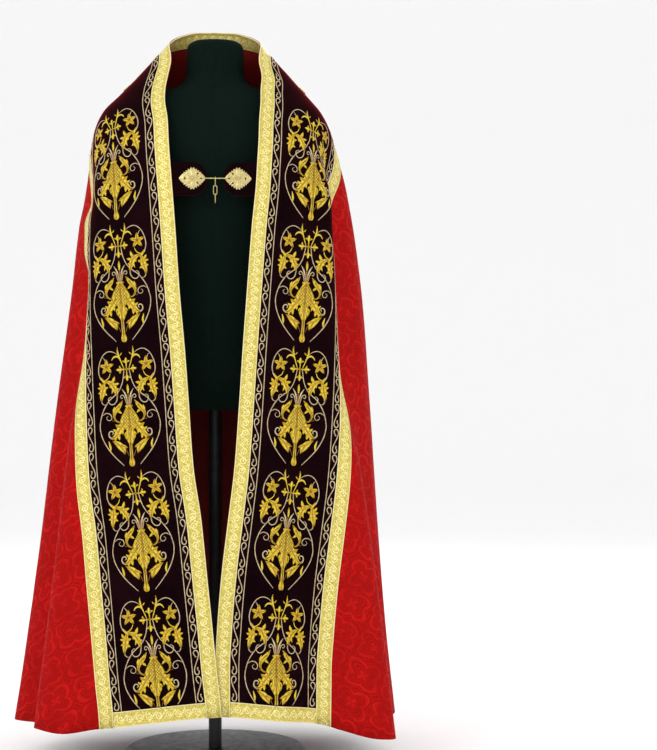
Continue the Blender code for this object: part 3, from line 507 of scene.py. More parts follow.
def skirtGrid(outer):
    # the cloth below the band's outer line: its four sides blended, the top and hem by the share down
    # and the two fronts by the share across, less what the corners then count twice
    columns = cloak["columns"]
    middle = outer.shape[1] // 2
    top = outer[:, middle - columns : middle + columns + 1]
    right, left = outer[:, middle - columns :: -1], outer[:, middle + columns :]
    across = np.linspace(0, 1, 2 * columns + 1)
    hemTurn = right[0, -1] + (left[0, -1] - right[0, -1]) * across
    hem = np.stack([hemTurn, hemHeight(hemTurn)])
    down = (right[1, 0] - right[1]) / (right[1, 0] - right[1, -1])
    u, v = across[None, None, :], down[None, :, None]
    grid = (1 - v) * top[:, None, :] + v * hem[:, None, :]
    grid = grid + (1 - u) * right[:, :, None] + u * left[:, :, None]
    grid = grid - (1 - v) * ((1 - u) * top[:, :1, None] + u * top[:, -1:, None])
    return grid - v * ((1 - u) * hem[:, :1, None] + u * hem[:, -1:, None])


cut = {"turn": 192, "top": 1.60, "foot": 0.04, "step": 0.01}  # reach and step of the table of cut lengths
cutTurns = np.arange(-cut["turn"], cut["turn"] + 1.0)
cutHeights = np.arange(cut["top"], cut["foot"], -cut["step"])
cutPoints = cloakPoint(*np.meshgrid(cutTurns, cutHeights))
cutAcross = alongLine(cutPoints.transpose(1, 0, 2)).T
cutAcross = cutAcross - cutAcross[:, len(cutTurns) // 2][:, None]
cutDown = alongLine(cutPoints)


def flatCut(turn, height):  # length round the cloak from the centre back, and length down from the neck
    row, place = (cutHeights[0] - height) / cut["step"], turn - cutTurns[0]
    return np.stack([onTable(cutAcross, row, place), onTable(cutDown, row, place)], axis=-1)


# the length of the band's middle line up to each walk
midAlong = {side: bandLine(side, band["middle"])[2] for side in (-1, 1)}


def bandPlace(side, along, across, lift):
    # a point of the band: length along its middle line, distance from the edge, height over the cloth
    walk = np.interp(along, midAlong[side], np.arange(len(midAlong[side]), dtype=float))
    turn, height = (onTable(table, across / cloak["walk"], walk) for table in walks[side])
    lift = np.broadcast_to(lift, turn.shape)[..., None]
    return cloakPoint(turn, height, creased=True) + lift * cloakNormal(turn, height, creased=True)


print("cloak's face worked out")

inPlane = {"noise_dimensions": "2D"}
softEdge = {"interpolation_type": "SMOOTHSTEP"}
fullTurn = 2 * np.pi


def makeDamask():
    # silk damask: satin quatrefoils with their outline echoed in fine lines on a duller ribbed ground.
    # an outline lies at notch + lobe times |cosine of twice the angle| from its middle
    weave = {
        "across": 108 * mm,
        "down": 97 * mm,
        "notch": 22 * mm,
        "lobe": 15 * mm,
        "waver": (30.0, 16 * mm),  # how fine and how far the figures waver
        "band": (4 * mm, 2 * mm),  # the outline fades out and is full, off its middle line
        "heart": (-23 * mm, -25 * mm),
        "echo": 6.2 * mm,
        "echoes": (-0.1, 0.9, 0.0, 0.7),  # from this part of their wave, as strong as this
        "ribs": (1300, 160, 0),  # 0.8 mm ribs with slubs along them
        "worn": (0.36, 0.6, 0.3, 1.0),
        "ground": ("860806", "9C0C0A", "AE110D"),
        "satin": ("B0100D", "C61612"),
        "roughness": (0.78, 0.58),
    }
    finish, shader, add = newFinish("silkDamask", Roughness=0.55, Specular_IOR_Level=0.05)
    flat = add("UVMap", {"uv_map": "flatCut"})
    fine, far = weave["waver"]
    drift = add("TexNoise", inPlane, flat, Scale=fine, Detail=3.0)
    wobble = add("VectorMath", "SCALE", drift.outputs["Color"], Scale=far)
    place = add("SeparateXYZ", (), add("VectorMath", "ADD", flat, wobble))
    near = []
    for half in (0, 1):  # the second set of quatrefoils lies half a repeat on, both ways
        sides = []
        for axis, repeat in (("X", weave["across"]), ("Y", weave["down"])):
            moved = add("Math", "ADD", place.outputs[axis], half * repeat / 2)
            sides.append(add("Math", "PINGPONG", moved, repeat / 2))
        far = add("VectorMath", "LENGTH", add("CombineXYZ", (), *sides))
        angle = add("Math", "ARCTAN2", *sides)
        lobes = add("Math", "COSINE", add("Math", "MULTIPLY", angle, 2.0))
        lobes = add("Math", "ABSOLUTE", lobes)
        reach = add("Math", "MULTIPLY_ADD", lobes, weave["lobe"], weave["notch"])
        near.append(add("Math", "SUBTRACT", far.outputs["Value"], reach))
    near = add("Math", "MINIMUM", *near)
    echoes = add("Math", "MULTIPLY", near, fullTurn / weave["echo"])
    echoes = add("MapRange", (), add("Math", "SINE", echoes), *weave["echoes"])
    off = add("Math", "ABSOLUTE", near)
    outline = add("MapRange", softEdge, off, *weave["band"])
    heart = add("MapRange", softEdge, near, *weave["heart"])
    satin = add("Math", "MAXIMUM", outline, heart)
    satin = add("Math", "MAXIMUM", satin, echoes)
    threads = add("VectorMath", "MULTIPLY", flat, weave["ribs"])
    slubs = add("TexNoise", inPlane, threads, Scale=1.0, Detail=3.0)
    cloud = add("TexNoise", inPlane, flat, Scale=20.0, Detail=5.0, Roughness=0.65)
    dull = add("ValToRGB", {"colours": weave["ground"]}, slubs)
    bright = add("ValToRGB", {"colours": weave["satin"]}, cloud)
    worn = add("MapRange", (), cloud, *weave["worn"])
    share = add("Math", "MULTIPLY", satin, worn)
    mixed = add("Mix", {"data_type": "RGBA"}, Factor=share, A=dull, B=bright)
    rough = add("MapRange", (), satin, 0.0, 1.0, *weave["roughness"])
    height = add("Math", "MULTIPLY_ADD", satin, 0.8, slubs)
    bump = add("Bump", (), Strength=0.35, Distance=0.35 * mm, Height=height)
    setInputs(shader, {"Base Color": mixed.outputs["Result"], "Roughness": rough, "Normal": bump})
    return finish


def makeLining():
    # wine-red viscose twill lining: fine slanted ribs, 1.1 mm apart, and a soft gloss
    finish, shader, add = newFinish("viscoseLining", Roughness=0.5, Specular_IOR_Level=0.2)
    flat = add("UVMap", {"uv_map": "flatCut"})
    slanted = add("Mapping", (), flat, Rotation=(0, 0, 0.9), Scale=(900, 90, 1))
    ribs = add("TexNoise", inPlane, slanted, Scale=1.0, Detail=2.0)
    tint = add("ValToRGB", {"colours": ("5E100E", "801A15", "9A241C")}, ribs)
    bump = add("Bump", (), Strength=0.2, Distance=0.2 * mm, Height=ribs)
    setInputs(shader, {"Base Color": tint, "Normal": bump})
    return finish


def makeVelvet():
    # cotton velvet: a deep wine pile, nearly black face on, that lights up wine red where it turns away
    look = {
        "sheen": "B4141C",
        "crush": 9.0,  # patches about 110 mm across
        "tufts": 900.0,  # 1.1 mm, coarser than a real pile, so that they show
        "pile": ("050103", "0A0205", "110407", "1C080D"),
    }
    finish, shader, add = newFinish(
        "cottonVelvet", Roughness=0.9, Specular_IOR_Level=0.02, Sheen_Weight=0.85, Sheen_Roughness=0.3,
        Sheen_Tint=colour(look["sheen"]),
    )
    where = add("TexCoord").outputs["Object"]
    crush = add("TexNoise", (), where, Scale=look["crush"], Detail=3.0, Roughness=0.6)
    tufts = add("TexNoise", (), where, Scale=look["tufts"], Detail=2.0)
    both = add("Math", "MULTIPLY_ADD", tufts, 0.35, crush)
    tint = add("ValToRGB", {"colours": look["pile"]}, both)
    bump = add("Bump", (), Strength=0.35, Distance=0.4 * mm, Height=tufts)
    setInputs(shader, {"Base Color": tint, "Normal": bump})
    return finish


def makeGalloon():
    # woven lace of gilt yarn: a raised running-dog wave on a speckled ground with painted glints, smooth pale
    # selvedges
    wave = {
        "repeat": 19.5 * mm,
        "half": band["galloon"] / 2,
        "reach": 7.2 * mm,  # how far a spiral reaches from its middle
        "arm": 4.8 * mm,  # and how much nearer each turn brings it
        "stem": 0.75,  # how long its stem is, as a share of the repeat
        "stemFade": (2.4 * mm, 1.2 * mm),
        "armFade": (-0.05, 0.55),
        "selvedge": 2.2 * mm,
        "selvedgeFade": 0.8 * mm,
        "floats": (300, 420, 0),  # yarn floats 3.3 by 2.4 mm
        # strength of the painted glints in the colour and the bump
        "paintedGlints": 0.3,
        "raised": 0.29,
        "shades": (0.34, 1.05),
        "yarn": ("A69438", "CCB850", "E4D472", "F2E8A0", "FCF6D0"),
        "selvedgeYarn": "F2E6B0",
    }
    finish, shader, add = newFinish("giltYarnLace", Roughness=0.42, Metallic=0.35)
    flat = add("UVMap", {"uv_map": "flatCut"})
    place = add("SeparateXYZ", (), flat)
    y = add("Math", "SUBTRACT", place.outputs["Y"], wave["half"])
    turns = add("Math", "DIVIDE", place.outputs["X"], wave["repeat"])
    # the stem rises along half a cosine to the top of its spiral
    share = add("Math", "DIVIDE", add("Math", "FRACT", turns), wave["stem"])
    rise = add("Math", "COSINE", add("Math", "MULTIPLY", share, np.pi))
    stem = add("Math", "MULTIPLY_ADD", rise, wave["reach"], y)
    stem = add("Math", "ABSOLUTE", stem)
    stem = add("MapRange", (), stem, *wave["stemFade"])
    stem = add("Math", "MULTIPLY", stem, add("Math", "LESS_THAN", share, 1.0))
    # the spiral winds in from there, a turn every arm of its radius
    within = add("Math", "FRACT", add("Math", "ADD", turns, 0.5 - wave["stem"]))
    x = add("Math", "MULTIPLY_ADD", within, wave["repeat"], -wave["repeat"] / 2)
    far = add("VectorMath", "LENGTH", add("CombineXYZ", (), x, y)).outputs["Value"]
    angle = add("Math", "ARCTAN2", y, x)
    inward = add("Math", "SUBTRACT", wave["reach"], far)
    wound = add("Math", "MULTIPLY_ADD", inward, fullTurn / wave["arm"], angle)
    arms = add("MapRange", (), add("Math", "SINE", wound), *wave["armFade"])
    inside = add("MapRange", (), far, wave["reach"] + mm, wave["reach"])
    scroll = add("Math", "MULTIPLY", arms, inside)
    scroll = add("Math", "MAXIMUM", scroll, stem)
    aside = add("Math", "ABSOLUTE", y)
    edge = wave["half"] - wave["selvedge"]
    selvedge = add("MapRange", (), aside, edge, edge + wave["selvedgeFade"])
    threads = add("VectorMath", "MULTIPLY", flat, wave["floats"])
    yarn = add("TexNoise", inPlane, threads, Scale=1.0, Detail=4.0, Roughness=0.75)
    # painted glints: bright specks on voronoi cells, painted into the lace's colour as highlights and also
    # raised in its bump
    glint = add("TexVoronoi", {"voronoi_dimensions": "2D"}, threads, Scale=1.3)
    paintedGlint = add("MapRange", (), glint.outputs["Color"], 0.5, 1.0)
    yarn = add("Math", "MULTIPLY_ADD", paintedGlint, wave["paintedGlints"], yarn)
    relief = add("Math", "MULTIPLY_ADD", scroll, wave["raised"], yarn)
    share = add("MapRange", (), relief, *wave["shades"])
    tint = add("ValToRGB", {"colours": wave["yarn"]}, share)
    pale = add("Mix", {"data_type": "RGBA"}, Factor=selvedge, A=tint, B=colour(wave["selvedgeYarn"]))
    bump = add("Bump", (), Strength=0.8, Distance=0.8 * mm, Height=relief)
    setInputs(shader, {"Base Color": pale.outputs["Result"], "Normal": bump})
    return finish


def makeThread(name, *codes, slant=0.35):
    # satin stitch in rayon thread: parallel strands across each stroke, with painted shade in the furrows
    # between them, darker towards the stroke's vein, in streaks where two shades are stitched side by side
    stitch = {
        "strand": 1.1 * mm,
        # painted shade in the furrows between the strands
        "paintedFurrowShade": 0.08,
        "vein": (0.4 * mm, 3 * mm, -0.17, 0.1),  # darker by this much here, lighter by this much there
        "streaks": (110, 420, 0),  # 9 by 2.4 mm
        "shades": (0.22, 0.72),
    }
    finish, shader, add = newFinish(name, Roughness=0.42, Specular_IOR_Level=0.4)
    flat = add("UVMap", {"uv_map": "flatCut"})
    place = add("SeparateXYZ", (), flat)
    aside = add("Math", "ABSOLUTE", place.outputs["Y"])
    leaning = add("Math", "MULTIPLY_ADD", aside, slant, place.outputs["X"])
    strands = add("Math", "MULTIPLY", leaning, fullTurn / stitch["strand"])
    strands = add("Math", "SINE", strands)
    vein = add("MapRange", (), aside, *stitch["vein"])
    streaks = add("VectorMath", "MULTIPLY", flat, stitch["streaks"])
    streaks = add("TexNoise", inPlane, streaks, Scale=1.0, Detail=3.0, Roughness=0.7)
    # painted shade: the strands' sine darkens the colour in the furrows between them
    shade = add("Math", "MULTIPLY_ADD", strands, stitch["paintedFurrowShade"], streaks)
    shade = add("Math", "ADD", shade, vein)
    shade = add("MapRange", (), shade, *stitch["shades"])
    tint = add("ValToRGB", {"colours": codes}, shade)
    bump = add("Bump", (), Strength=0.6, Distance=0.3 * mm, Height=strands)
    setInputs(shader, {"Base Color": tint, "Normal": bump})
    return finish


def makeMetal(name, codes, roughness, metallic, scale):
    # cast metal, plated or painted: a little darker and rougher in patches
    finish, shader, add = newFinish(name, Metallic=metallic)
    wear = add("TexNoise", (), add("TexCoord").outputs["Object"], Scale=scale, Detail=4.0)
    tint = add("ValToRGB", {"colours": codes}, wear)
    rough = add("MapRange", (), wear, 0.3, 0.7, *roughness)
    bump = add("Bump", (), Strength=0.1, Distance=0.1 * mm, Height=wear)
    setInputs(shader, {"Base Color": tint, "Roughness": rough, "Normal": bump})
    return finish


def makeJersey():
    # stretch jersey over a padded form: dark green knit in fine upright wales, 1.8 mm apart
    finish, shader, add = newFinish("cottonJersey", Roughness=0.9, Specular_IOR_Level=0.08)
    where = add("TexCoord").outputs["Object"]
    knit = add("TexWave", {"bands_direction": "X"}, where, Scale=180.0, Distortion=1.5)
    fuzz = add("TexNoise", (), where, Scale=300.0, Detail=3.0)
    both = add("Math", "MULTIPLY_ADD", knit.outputs["Fac"], 0.4, fuzz)
    tint = add("ValToRGB", {"colours": ("020705", "040F0B", "081A13")}, both)
    bump = add("Bump", (), Strength=0.3, Distance=0.3 * mm, Height=both)
    setInputs(shader, {"Base Color": tint, "Normal": bump})
    return finish


damask, lining, velvet, galloon = makeDamask(), makeLining(), makeVelvet(), makeGalloon()
goldThread = makeThread("goldRayonThread", "6A460A", "B08210", "D6AC14", "E6CA1E", "F2E258")
paleThread = makeThread("paleRayonThread", "8C7450", "BEA67E", "E0CEA6")
brownThread = makeThread("bronzeRayonThread", "52300A", "8A5C1C", "B08838")
fringeYarn = makeThread("bullionFringeYarn", "4A300C", "A47A2C", "D2AC50", "F2DE9A", slant=1.2)
gilt = makeMetal("giltBrass", ("6E5C30", "CCBA7C", "F4ECC4"), (0.28, 0.45), 0.85, 380.0)
jersey = makeJersey()
steel = makeMetal("paintedSteel", ("1E1F21", "2A2B2D", "35373A"), (0.36, 0.5), 0.3, 60.0)
print("finishes made")


def joinGrids(grids):  # points at the same place in neighbouring grids become one
    flat = np.concatenate([grid.reshape(grid.shape[0], -1).T for grid in grids])
    _, first, ids = np.unique(np.round(flat, 6), axis=0, return_index=True, return_inverse=True)
    ids, cuts = ids.reshape(-1), np.cumsum([0] + [grid[0].size for grid in grids])
    parts = [ids[a:b].reshape(grid[0].shape) for a, b, grid in zip(cuts, cuts[1:], grids)]
    return flat[first], parts


def layStrip(name, node, grid, finish, top, across=None):
    # a strip of a turn and height grid, raised to top on each row; its flat cut runs along the rows
    points, normals = cloakPoint(*grid, creased=True), cloakNormal(*grid, creased=True)
    along = alongLine(points[len(points) // 2])
    across = across if across is not None else alongLine(points)[:, len(along) // 2]
    flat = pairUp(along, across[:, None])
    piece = addShell(name, node, points, normals, band["lay"], top[:, None], [finish], flat)
    onBand.append(piece)


lace = {
    # across a galloon: share of its width, height over its underside
    "profile": (
        (0.000, 0.9 * mm),
        (0.020, 1.5 * mm),
        (0.055, 1.6 * mm),
        (0.085, 1.2 * mm),
        (0.300, 1.5 * mm),
        (0.500, 1.6 * mm),
        (0.700, 1.5 * mm),
        (0.915, 1.2 * mm),
        (0.945, 1.6 * mm),
        (0.980, 1.5 * mm),
        (1.000, 0.9 * mm),
    ),
    "gap": 0.15 * mm,  # left where two pieces meet
    "facing": 38,  # columns on each side of the centre back that the strip inside the collar covers
}
laceAcross, laceHigh = tableColumn(lace["profile"], 0), tableColumn(lace["profile"], 1)
laceWidths = band["galloon"] * laceAcross
gap = lace["gap"]
onBand = []

# the cloak: red damask lined in wine, with the band's velvet and lace laid on it
under = bandGrid(band["clothLines"])
places, (bandIds, skirtIds) = joinGrids([under, skirtGrid(under[:, -1])])
points, normals = cloakPoint(*places.T, creased=True), cloakNormal(*places.T, creased=True)
copeCloth = addShell(
    "copeCloth", "cope_cloth", points, normals, -cloak["cloth"], 0.0, [damask, lining],
    flatCut(*places.T), np.concatenate([fourSided(bandIds), fourSided(skirtIds)]),
)
velvetLines = np.array([band["galloon"] + gap, *band["velvetLines"], band["outer"] - gap])
velvetGrid = bandGrid(velvetLines)
middle = velvetGrid.shape[2] // 2
pileTop = np.full(len(velvetLines), band["velvetTop"])
pileTop[[0, -1]] = band["velvetEdge"]
layStrip("orphreyRight", "orphrey_right", velvetGrid[:, :, 1:middle], velvet, pileTop)
layStrip("orphreyLeft", "orphrey_left", velvetGrid[:, :, middle + 1 : -1], velvet, pileTop)
inset = gap * (1 - 2 * laceAcross)  # only where the lace meets the velvet
edgeGrid = bandGrid(laceWidths + inset * (laceAcross > 0.9))
outerGrid = bandGrid(band["outer"] + laceWidths + inset * (laceAcross < 0.1))
layStrip("galloonEdge", "galloon_edge", edgeGrid, galloon, laceHigh, across=laceWidths)
layStrip("galloonOuter", "galloon_outer", outerGrid, galloon, laceHigh, across=laceWidths)


def crossLace(name, node, start):
    # a galloon across the band between the other two; start gives its first edge on each line,
    # as a length from the nape that counts up towards the wearer's left
    grid = []
    for distance in (band["galloon"] + gap, *band["crossLines"], band["outer"] - gap):
        ends = {side: bandLine(side, distance) for side in (-1, 1)}
        places = start(ends) - laceWidths
        both = [[np.interp(np.abs(places), ends[s][2], ends[s][i]) for s in (-1, 1)] for i in (0, 1)]
        grid.append([np.where(places < 0, *pair) for pair in both])
    layStrip(name, node, np.array(grid).transpose(1, 2, 0), galloon, laceHigh, across=laceWidths)


crossLace("galloonCenterBack", "galloon_center_back", lambda ends: band["galloon"] / 2)
crossLace("galloonHemLeft", "galloon_hem_left", lambda ends: ends[1][4])
crossLace("galloonHemRight", "galloon_hem_right", lambda ends: band["galloon"] - ends[-1][4])

# the gold strip inside the collar: the same lace, on the lining, between the shoulders
facing = bandGrid(laceWidths)[:, ::-1]
centre = facing.shape[2] // 2
turn, height = facing[:, :, centre - lace["facing"] : centre + lace["facing"] + 1]
inwards = -cloakNormal(turn, height)
points = cloakPoint(turn, height) + (cloak["cloth"] + band["lay"]) * inwards
flat = pairUp(alongLine(points[len(points) // 2]), laceWidths[:, None])
onBand.append(
    addShell(
        "collarFacing", "collar_facing", points, inwards, 0, laceHigh[:, None], [galloon], flat,
    )
)
print("cloak and band made")

# the hood: a round-cornered shield on the back, edged in lace and fringe
hood = {
    "length": 0.462,
    "start": 0.4 * mm,  # its pieces start this far below the band
    "top": 0.252,  # half its width at the top, where it is widest and along its straight foot
    "widest": 0.276,
    "straight": 124 * mm,
    "side": 0.312,  # how far down it is widest
    "edgeLace": 20 * mm,
    "velvet": 92.5 * mm,  # half the width of its middle strip
    "liftTop": 2.6 * mm,  # over the cloak's face, at its top and at its foot
    "liftFoot": 9 * mm,
    "foldShare": 0.5,  # how much of the cloak's folds it follows
    # reach and number of entries of the tables that its shape is read from
    "turns": (108, 217),
    "fall": (0.6, 301),
    "rows": (0.53, 54),
    "across": (0.40, 401),
}
fringe = {
    "length": 46 * mm,
    "strands": 420,
    "radius": 1.3 * mm,
    "layer": 1.2 * mm,  # every second strand lies this much higher
    "shadeStep": 37 * mm,  # how far on along its yarn each strand starts, so that their shades differ
    "out": 0.6 * mm,
    "slant": 0.55,
    "sway": (0.08, 2.4),  # how far the strands sway aside, and the step of its sine from each to the next
    "shorter": (0.09, 1.7),  # how much shorter they get, and the step of that
    "bow": 1.2 * mm,
    "twists": 4.5,
    "lobes": 0.22,
    "taper": 0.12,
    "tip": (0.97, 0.5),  # beyond this share of the length, the thickness is this share
    "rings": 12,
    "sides": 6,
}

outerLine = bandGrid([band["width"]])[:, 0]
nape = outerLine.shape[1] // 2
nearNape = slice(nape - cloak["columns"], nape + cloak["columns"] + 1)
hoodTurns = np.linspace(-hood["turns"][0], *hood["turns"])
hoodTop = np.interp(hoodTurns, outerLine[0, nearNape], outerLine[1, nearNape])
hoodStart = hoodTop[len(hoodTurns) // 2]
hoodFall = np.linspace(hoodStart, hoodStart - hood["fall"][0], hood["fall"][1])
hoodDepth = alongLine(cloakPoint(0 * hoodFall, hoodFall))
hoodRows = np.linspace(0, *hood["rows"])
hoodAcross = np.linspace(-hood["across"][0], *hood["across"])


def hoodHeights(turn, down):  # the top follows the band's outer line, and the rise dies out downwards
    centre = np.interp(down, hoodDepth, hoodFall)
    rise = np.interp(turn, hoodTurns, hoodTop) - hoodStart
    return centre + rise * np.clip(1 - down / hood["length"], 0, 1)


hoodTurnAt = []
for row in hoodRows:
    along = alongLine(cloakPoint(hoodTurns, hoodHeights(hoodTurns, row), hood["foldShare"]))
    hoodTurnAt.append(np.interp(hoodAcross, along - along[len(along) // 2], hoodTurns))
hoodTurnAt = np.array(hoodTurnAt)


def hoodPlace(x, down, lift=0.0):  # a point of the hood: across from the middle, down from its top
    x, down = np.broadcast_arrays(np.asarray(x, float), np.asarray(down, float))
    turn = onTable(hoodTurnAt, down / hoodRows[1], (x - hoodAcross[0]) / (hoodAcross[1] - hoodAcross[0]))
    eased = smoothStep(down / hood["length"])
    lift = lift + hood["liftTop"] + (hood["liftFoot"] - hood["liftTop"]) * eased
    return cloakPoint(turn, hoodHeights(turn, down), hood["foldShare"], lift)


def hoodNormal(x, down):  # square to the steps a millimetre across and down
    across = hoodPlace(x + mm, down) - hoodPlace(x - mm, down)
    along = hoodPlace(x, down + mm) - hoodPlace(x, down - mm)
    return unitVectors(np.cross(across, along))


def hoodOutline(t):  # 0 to 1 is the side, which swells like a sine, and 1 to 2 a quarter of an oval
    straight, angle = hood["straight"], np.pi / 2 * np.clip(t - 1, 0, 1)
    swell = (hood["widest"] - hood["top"]) * np.sin(np.pi / 2 * np.clip(t, 0, 1))
    x = np.where(t <= 1, hood["top"] + swell, straight + (hood["widest"] - straight) * np.cos(angle))
    edge = hood["start"] + (hood["side"] - hood["start"]) * t
    corner = hood["side"] + (hood["length"] - hood["side"]) * np.sin(angle)
    return np.stack([x, np.where(t <= 1, edge, corner)], axis=-1)


def hoodOutward(t):  # square to the outline
    along = hoodOutline(np.minimum(t + 0.01, 2)) - hoodOutline(np.maximum(t - 0.01, 0))
    return unitVectors(np.stack([along[:, 1], -along[:, 0]], axis=-1))


def hoodEdge(steps):  # the whole outline, wearer's right top to left top, and its outward direction
    t = np.linspace(0, 2, steps)
    half, out = hoodOutline(t), hoodOutward(t)
    bottom = np.linspace(-hood["straight"], hood["straight"], steps // 2)[1:-1]
    floor = np.stack([bottom, np.full(len(bottom), hood["length"])], axis=-1)
    path = np.concatenate([half * (-1, 1), floor, half[::-1]])
    outward = np.concatenate([out * (-1, 1), np.tile([0.0, 1.0], (len(bottom), 1)), out[::-1]])
    return path, outward


# the cloth: rows from the top to the foot, each from side to side of the outline
t = np.concatenate([np.linspace(0, 1, 40), 1 + np.sin(np.linspace(0, 1, 41)[1:] * np.pi / 2)])
sides = hoodOutline(t)
x, down = np.broadcast_arrays(sides[:, :1] * np.linspace(-1, 1, 97), sides[:, 1:])
hoodCloth = addShell(
    "hoodCloth", "hood_cloth", hoodPlace(x, down), hoodNormal(x, down), 0.0, cloak["cloth"],
    [damask, lining], pairUp(x, down),
)


def layOnHood(name, node, x, down, finish, top, flat):
    points, normals, cloth = hoodPlace(x, down), hoodNormal(x, down), cloak["cloth"]
    low, high = cloth + band["lay"], cloth + top
    addShell(name, node, points, normals, low, high, [finish], flat)


foot = hood["length"] - hood["edgeLace"] - gap
rows = np.linspace(hood["start"], foot, 70)
x, down = np.meshgrid(np.linspace(-1, 1, 31) * (hood["velvet"] - gap), rows)
layOnHood("hoodOrphrey", "hood_orphrey", x, down, velvet, band["velvetTop"], pairUp(x, down))
across = hood["velvet"] + gap + (hood["straight"] - hood["velvet"] - gap) * laceAcross
for name, node, side in (("Left", "left", 1), ("Right", "right", -1)):
    x, down = np.meshgrid((side * across)[::side], rows)
    top, flat = laceHigh[::side], pairUp(down, np.abs(x) - hood["velvet"])
    layOnHood(f"hoodGalloon{name}", f"hood_galloon_{node}", x, down, galloon, top, flat)
path, outward = hoodEdge(120)
laid = path - hood["edgeLace"] * (1 - laceAcross)[:, None, None] * outward
x, down = laid[..., 0], np.clip(laid[..., 1], hood["start"], None)
flat = pairUp(alongLine(path), laceWidths[:, None])
layOnHood("hoodGalloonEdge", "hood_galloon_edge", x, down, galloon, laceHigh[:, None], flat)

# the fringe: twisted strands, each a two-lobed cord that turns as it runs, with a little sway;
# its radius is 1 + lobes times the cosine of twice the turned angle
path, outward = hoodEdge(300)
along, number = alongLine(path), np.arange(fringe["strands"])
roots = (number + 0.5) * along[-1] / fringe["strands"]
root, normal = (
    np.stack([np.interp(roots, along, line[:, i]) for i in (0, 1)], axis=-1) for line in (path, outward)
)
aside, asideStep = fringe["sway"]
less, lessStep = fringe["shorter"]
sway = np.sin(number * asideStep)
way = unitVectors(np.stack([fringe["slant"] * normal[:, 0] + aside * sway, np.ones(len(roots))], axis=-1))
s = np.linspace(0, 1, fringe["rings"])
long = fringe["length"] * (1 - less * np.sin(number * lessStep) ** 2)
centre = root[:, None] + fringe["out"] * normal[:, None] + s[None, :, None] * (long[:, None] * way)[:, None]
lift = cloak["cloth"] / 2 + fringe["bow"] * np.sin(np.pi * s)[None] * (1 + sway[:, None]) / 2
lift = lift + fringe["layer"] * (number % 2)[:, None]
angle = fullTurn * np.arange(fringe["sides"]) / fringe["sides"]
turned = angle[None, :] - fullTurn * fringe["twists"] * s[:, None]
tip, thin = fringe["tip"]
taper = np.where(s < tip, 1 - fringe["taper"] * s, thin)
radius = fringe["radius"] * (1 + fringe["lobes"] * np.cos(2 * turned)) * taper[:, None]
sideways = np.stack([-way[:, 1], way[:, 0]], axis=-1)
laid = centre[:, :, None] + (radius * np.cos(angle))[None, :, :, None] * sideways[:, None, None]
high = lift[:, :, None] + (radius * np.sin(angle))[None]
points = hoodPlace(laid[..., 0], laid[..., 1], high)
ids = numbered(*points.shape[:3])
caps = np.concatenate([ids[:, 0, ::-1], ids[:, -1]])
lengths = number[:, None] * fringe["shadeStep"] + s * fringe["length"]
faces = [fourSided(closedRound(ids)), caps]
flat = pairUp(lengths[:, :, None], angle * mm)
addPiece("hoodFringe", "hood_fringe", points, faces, [fringeYarn], flat)
print("hood made")

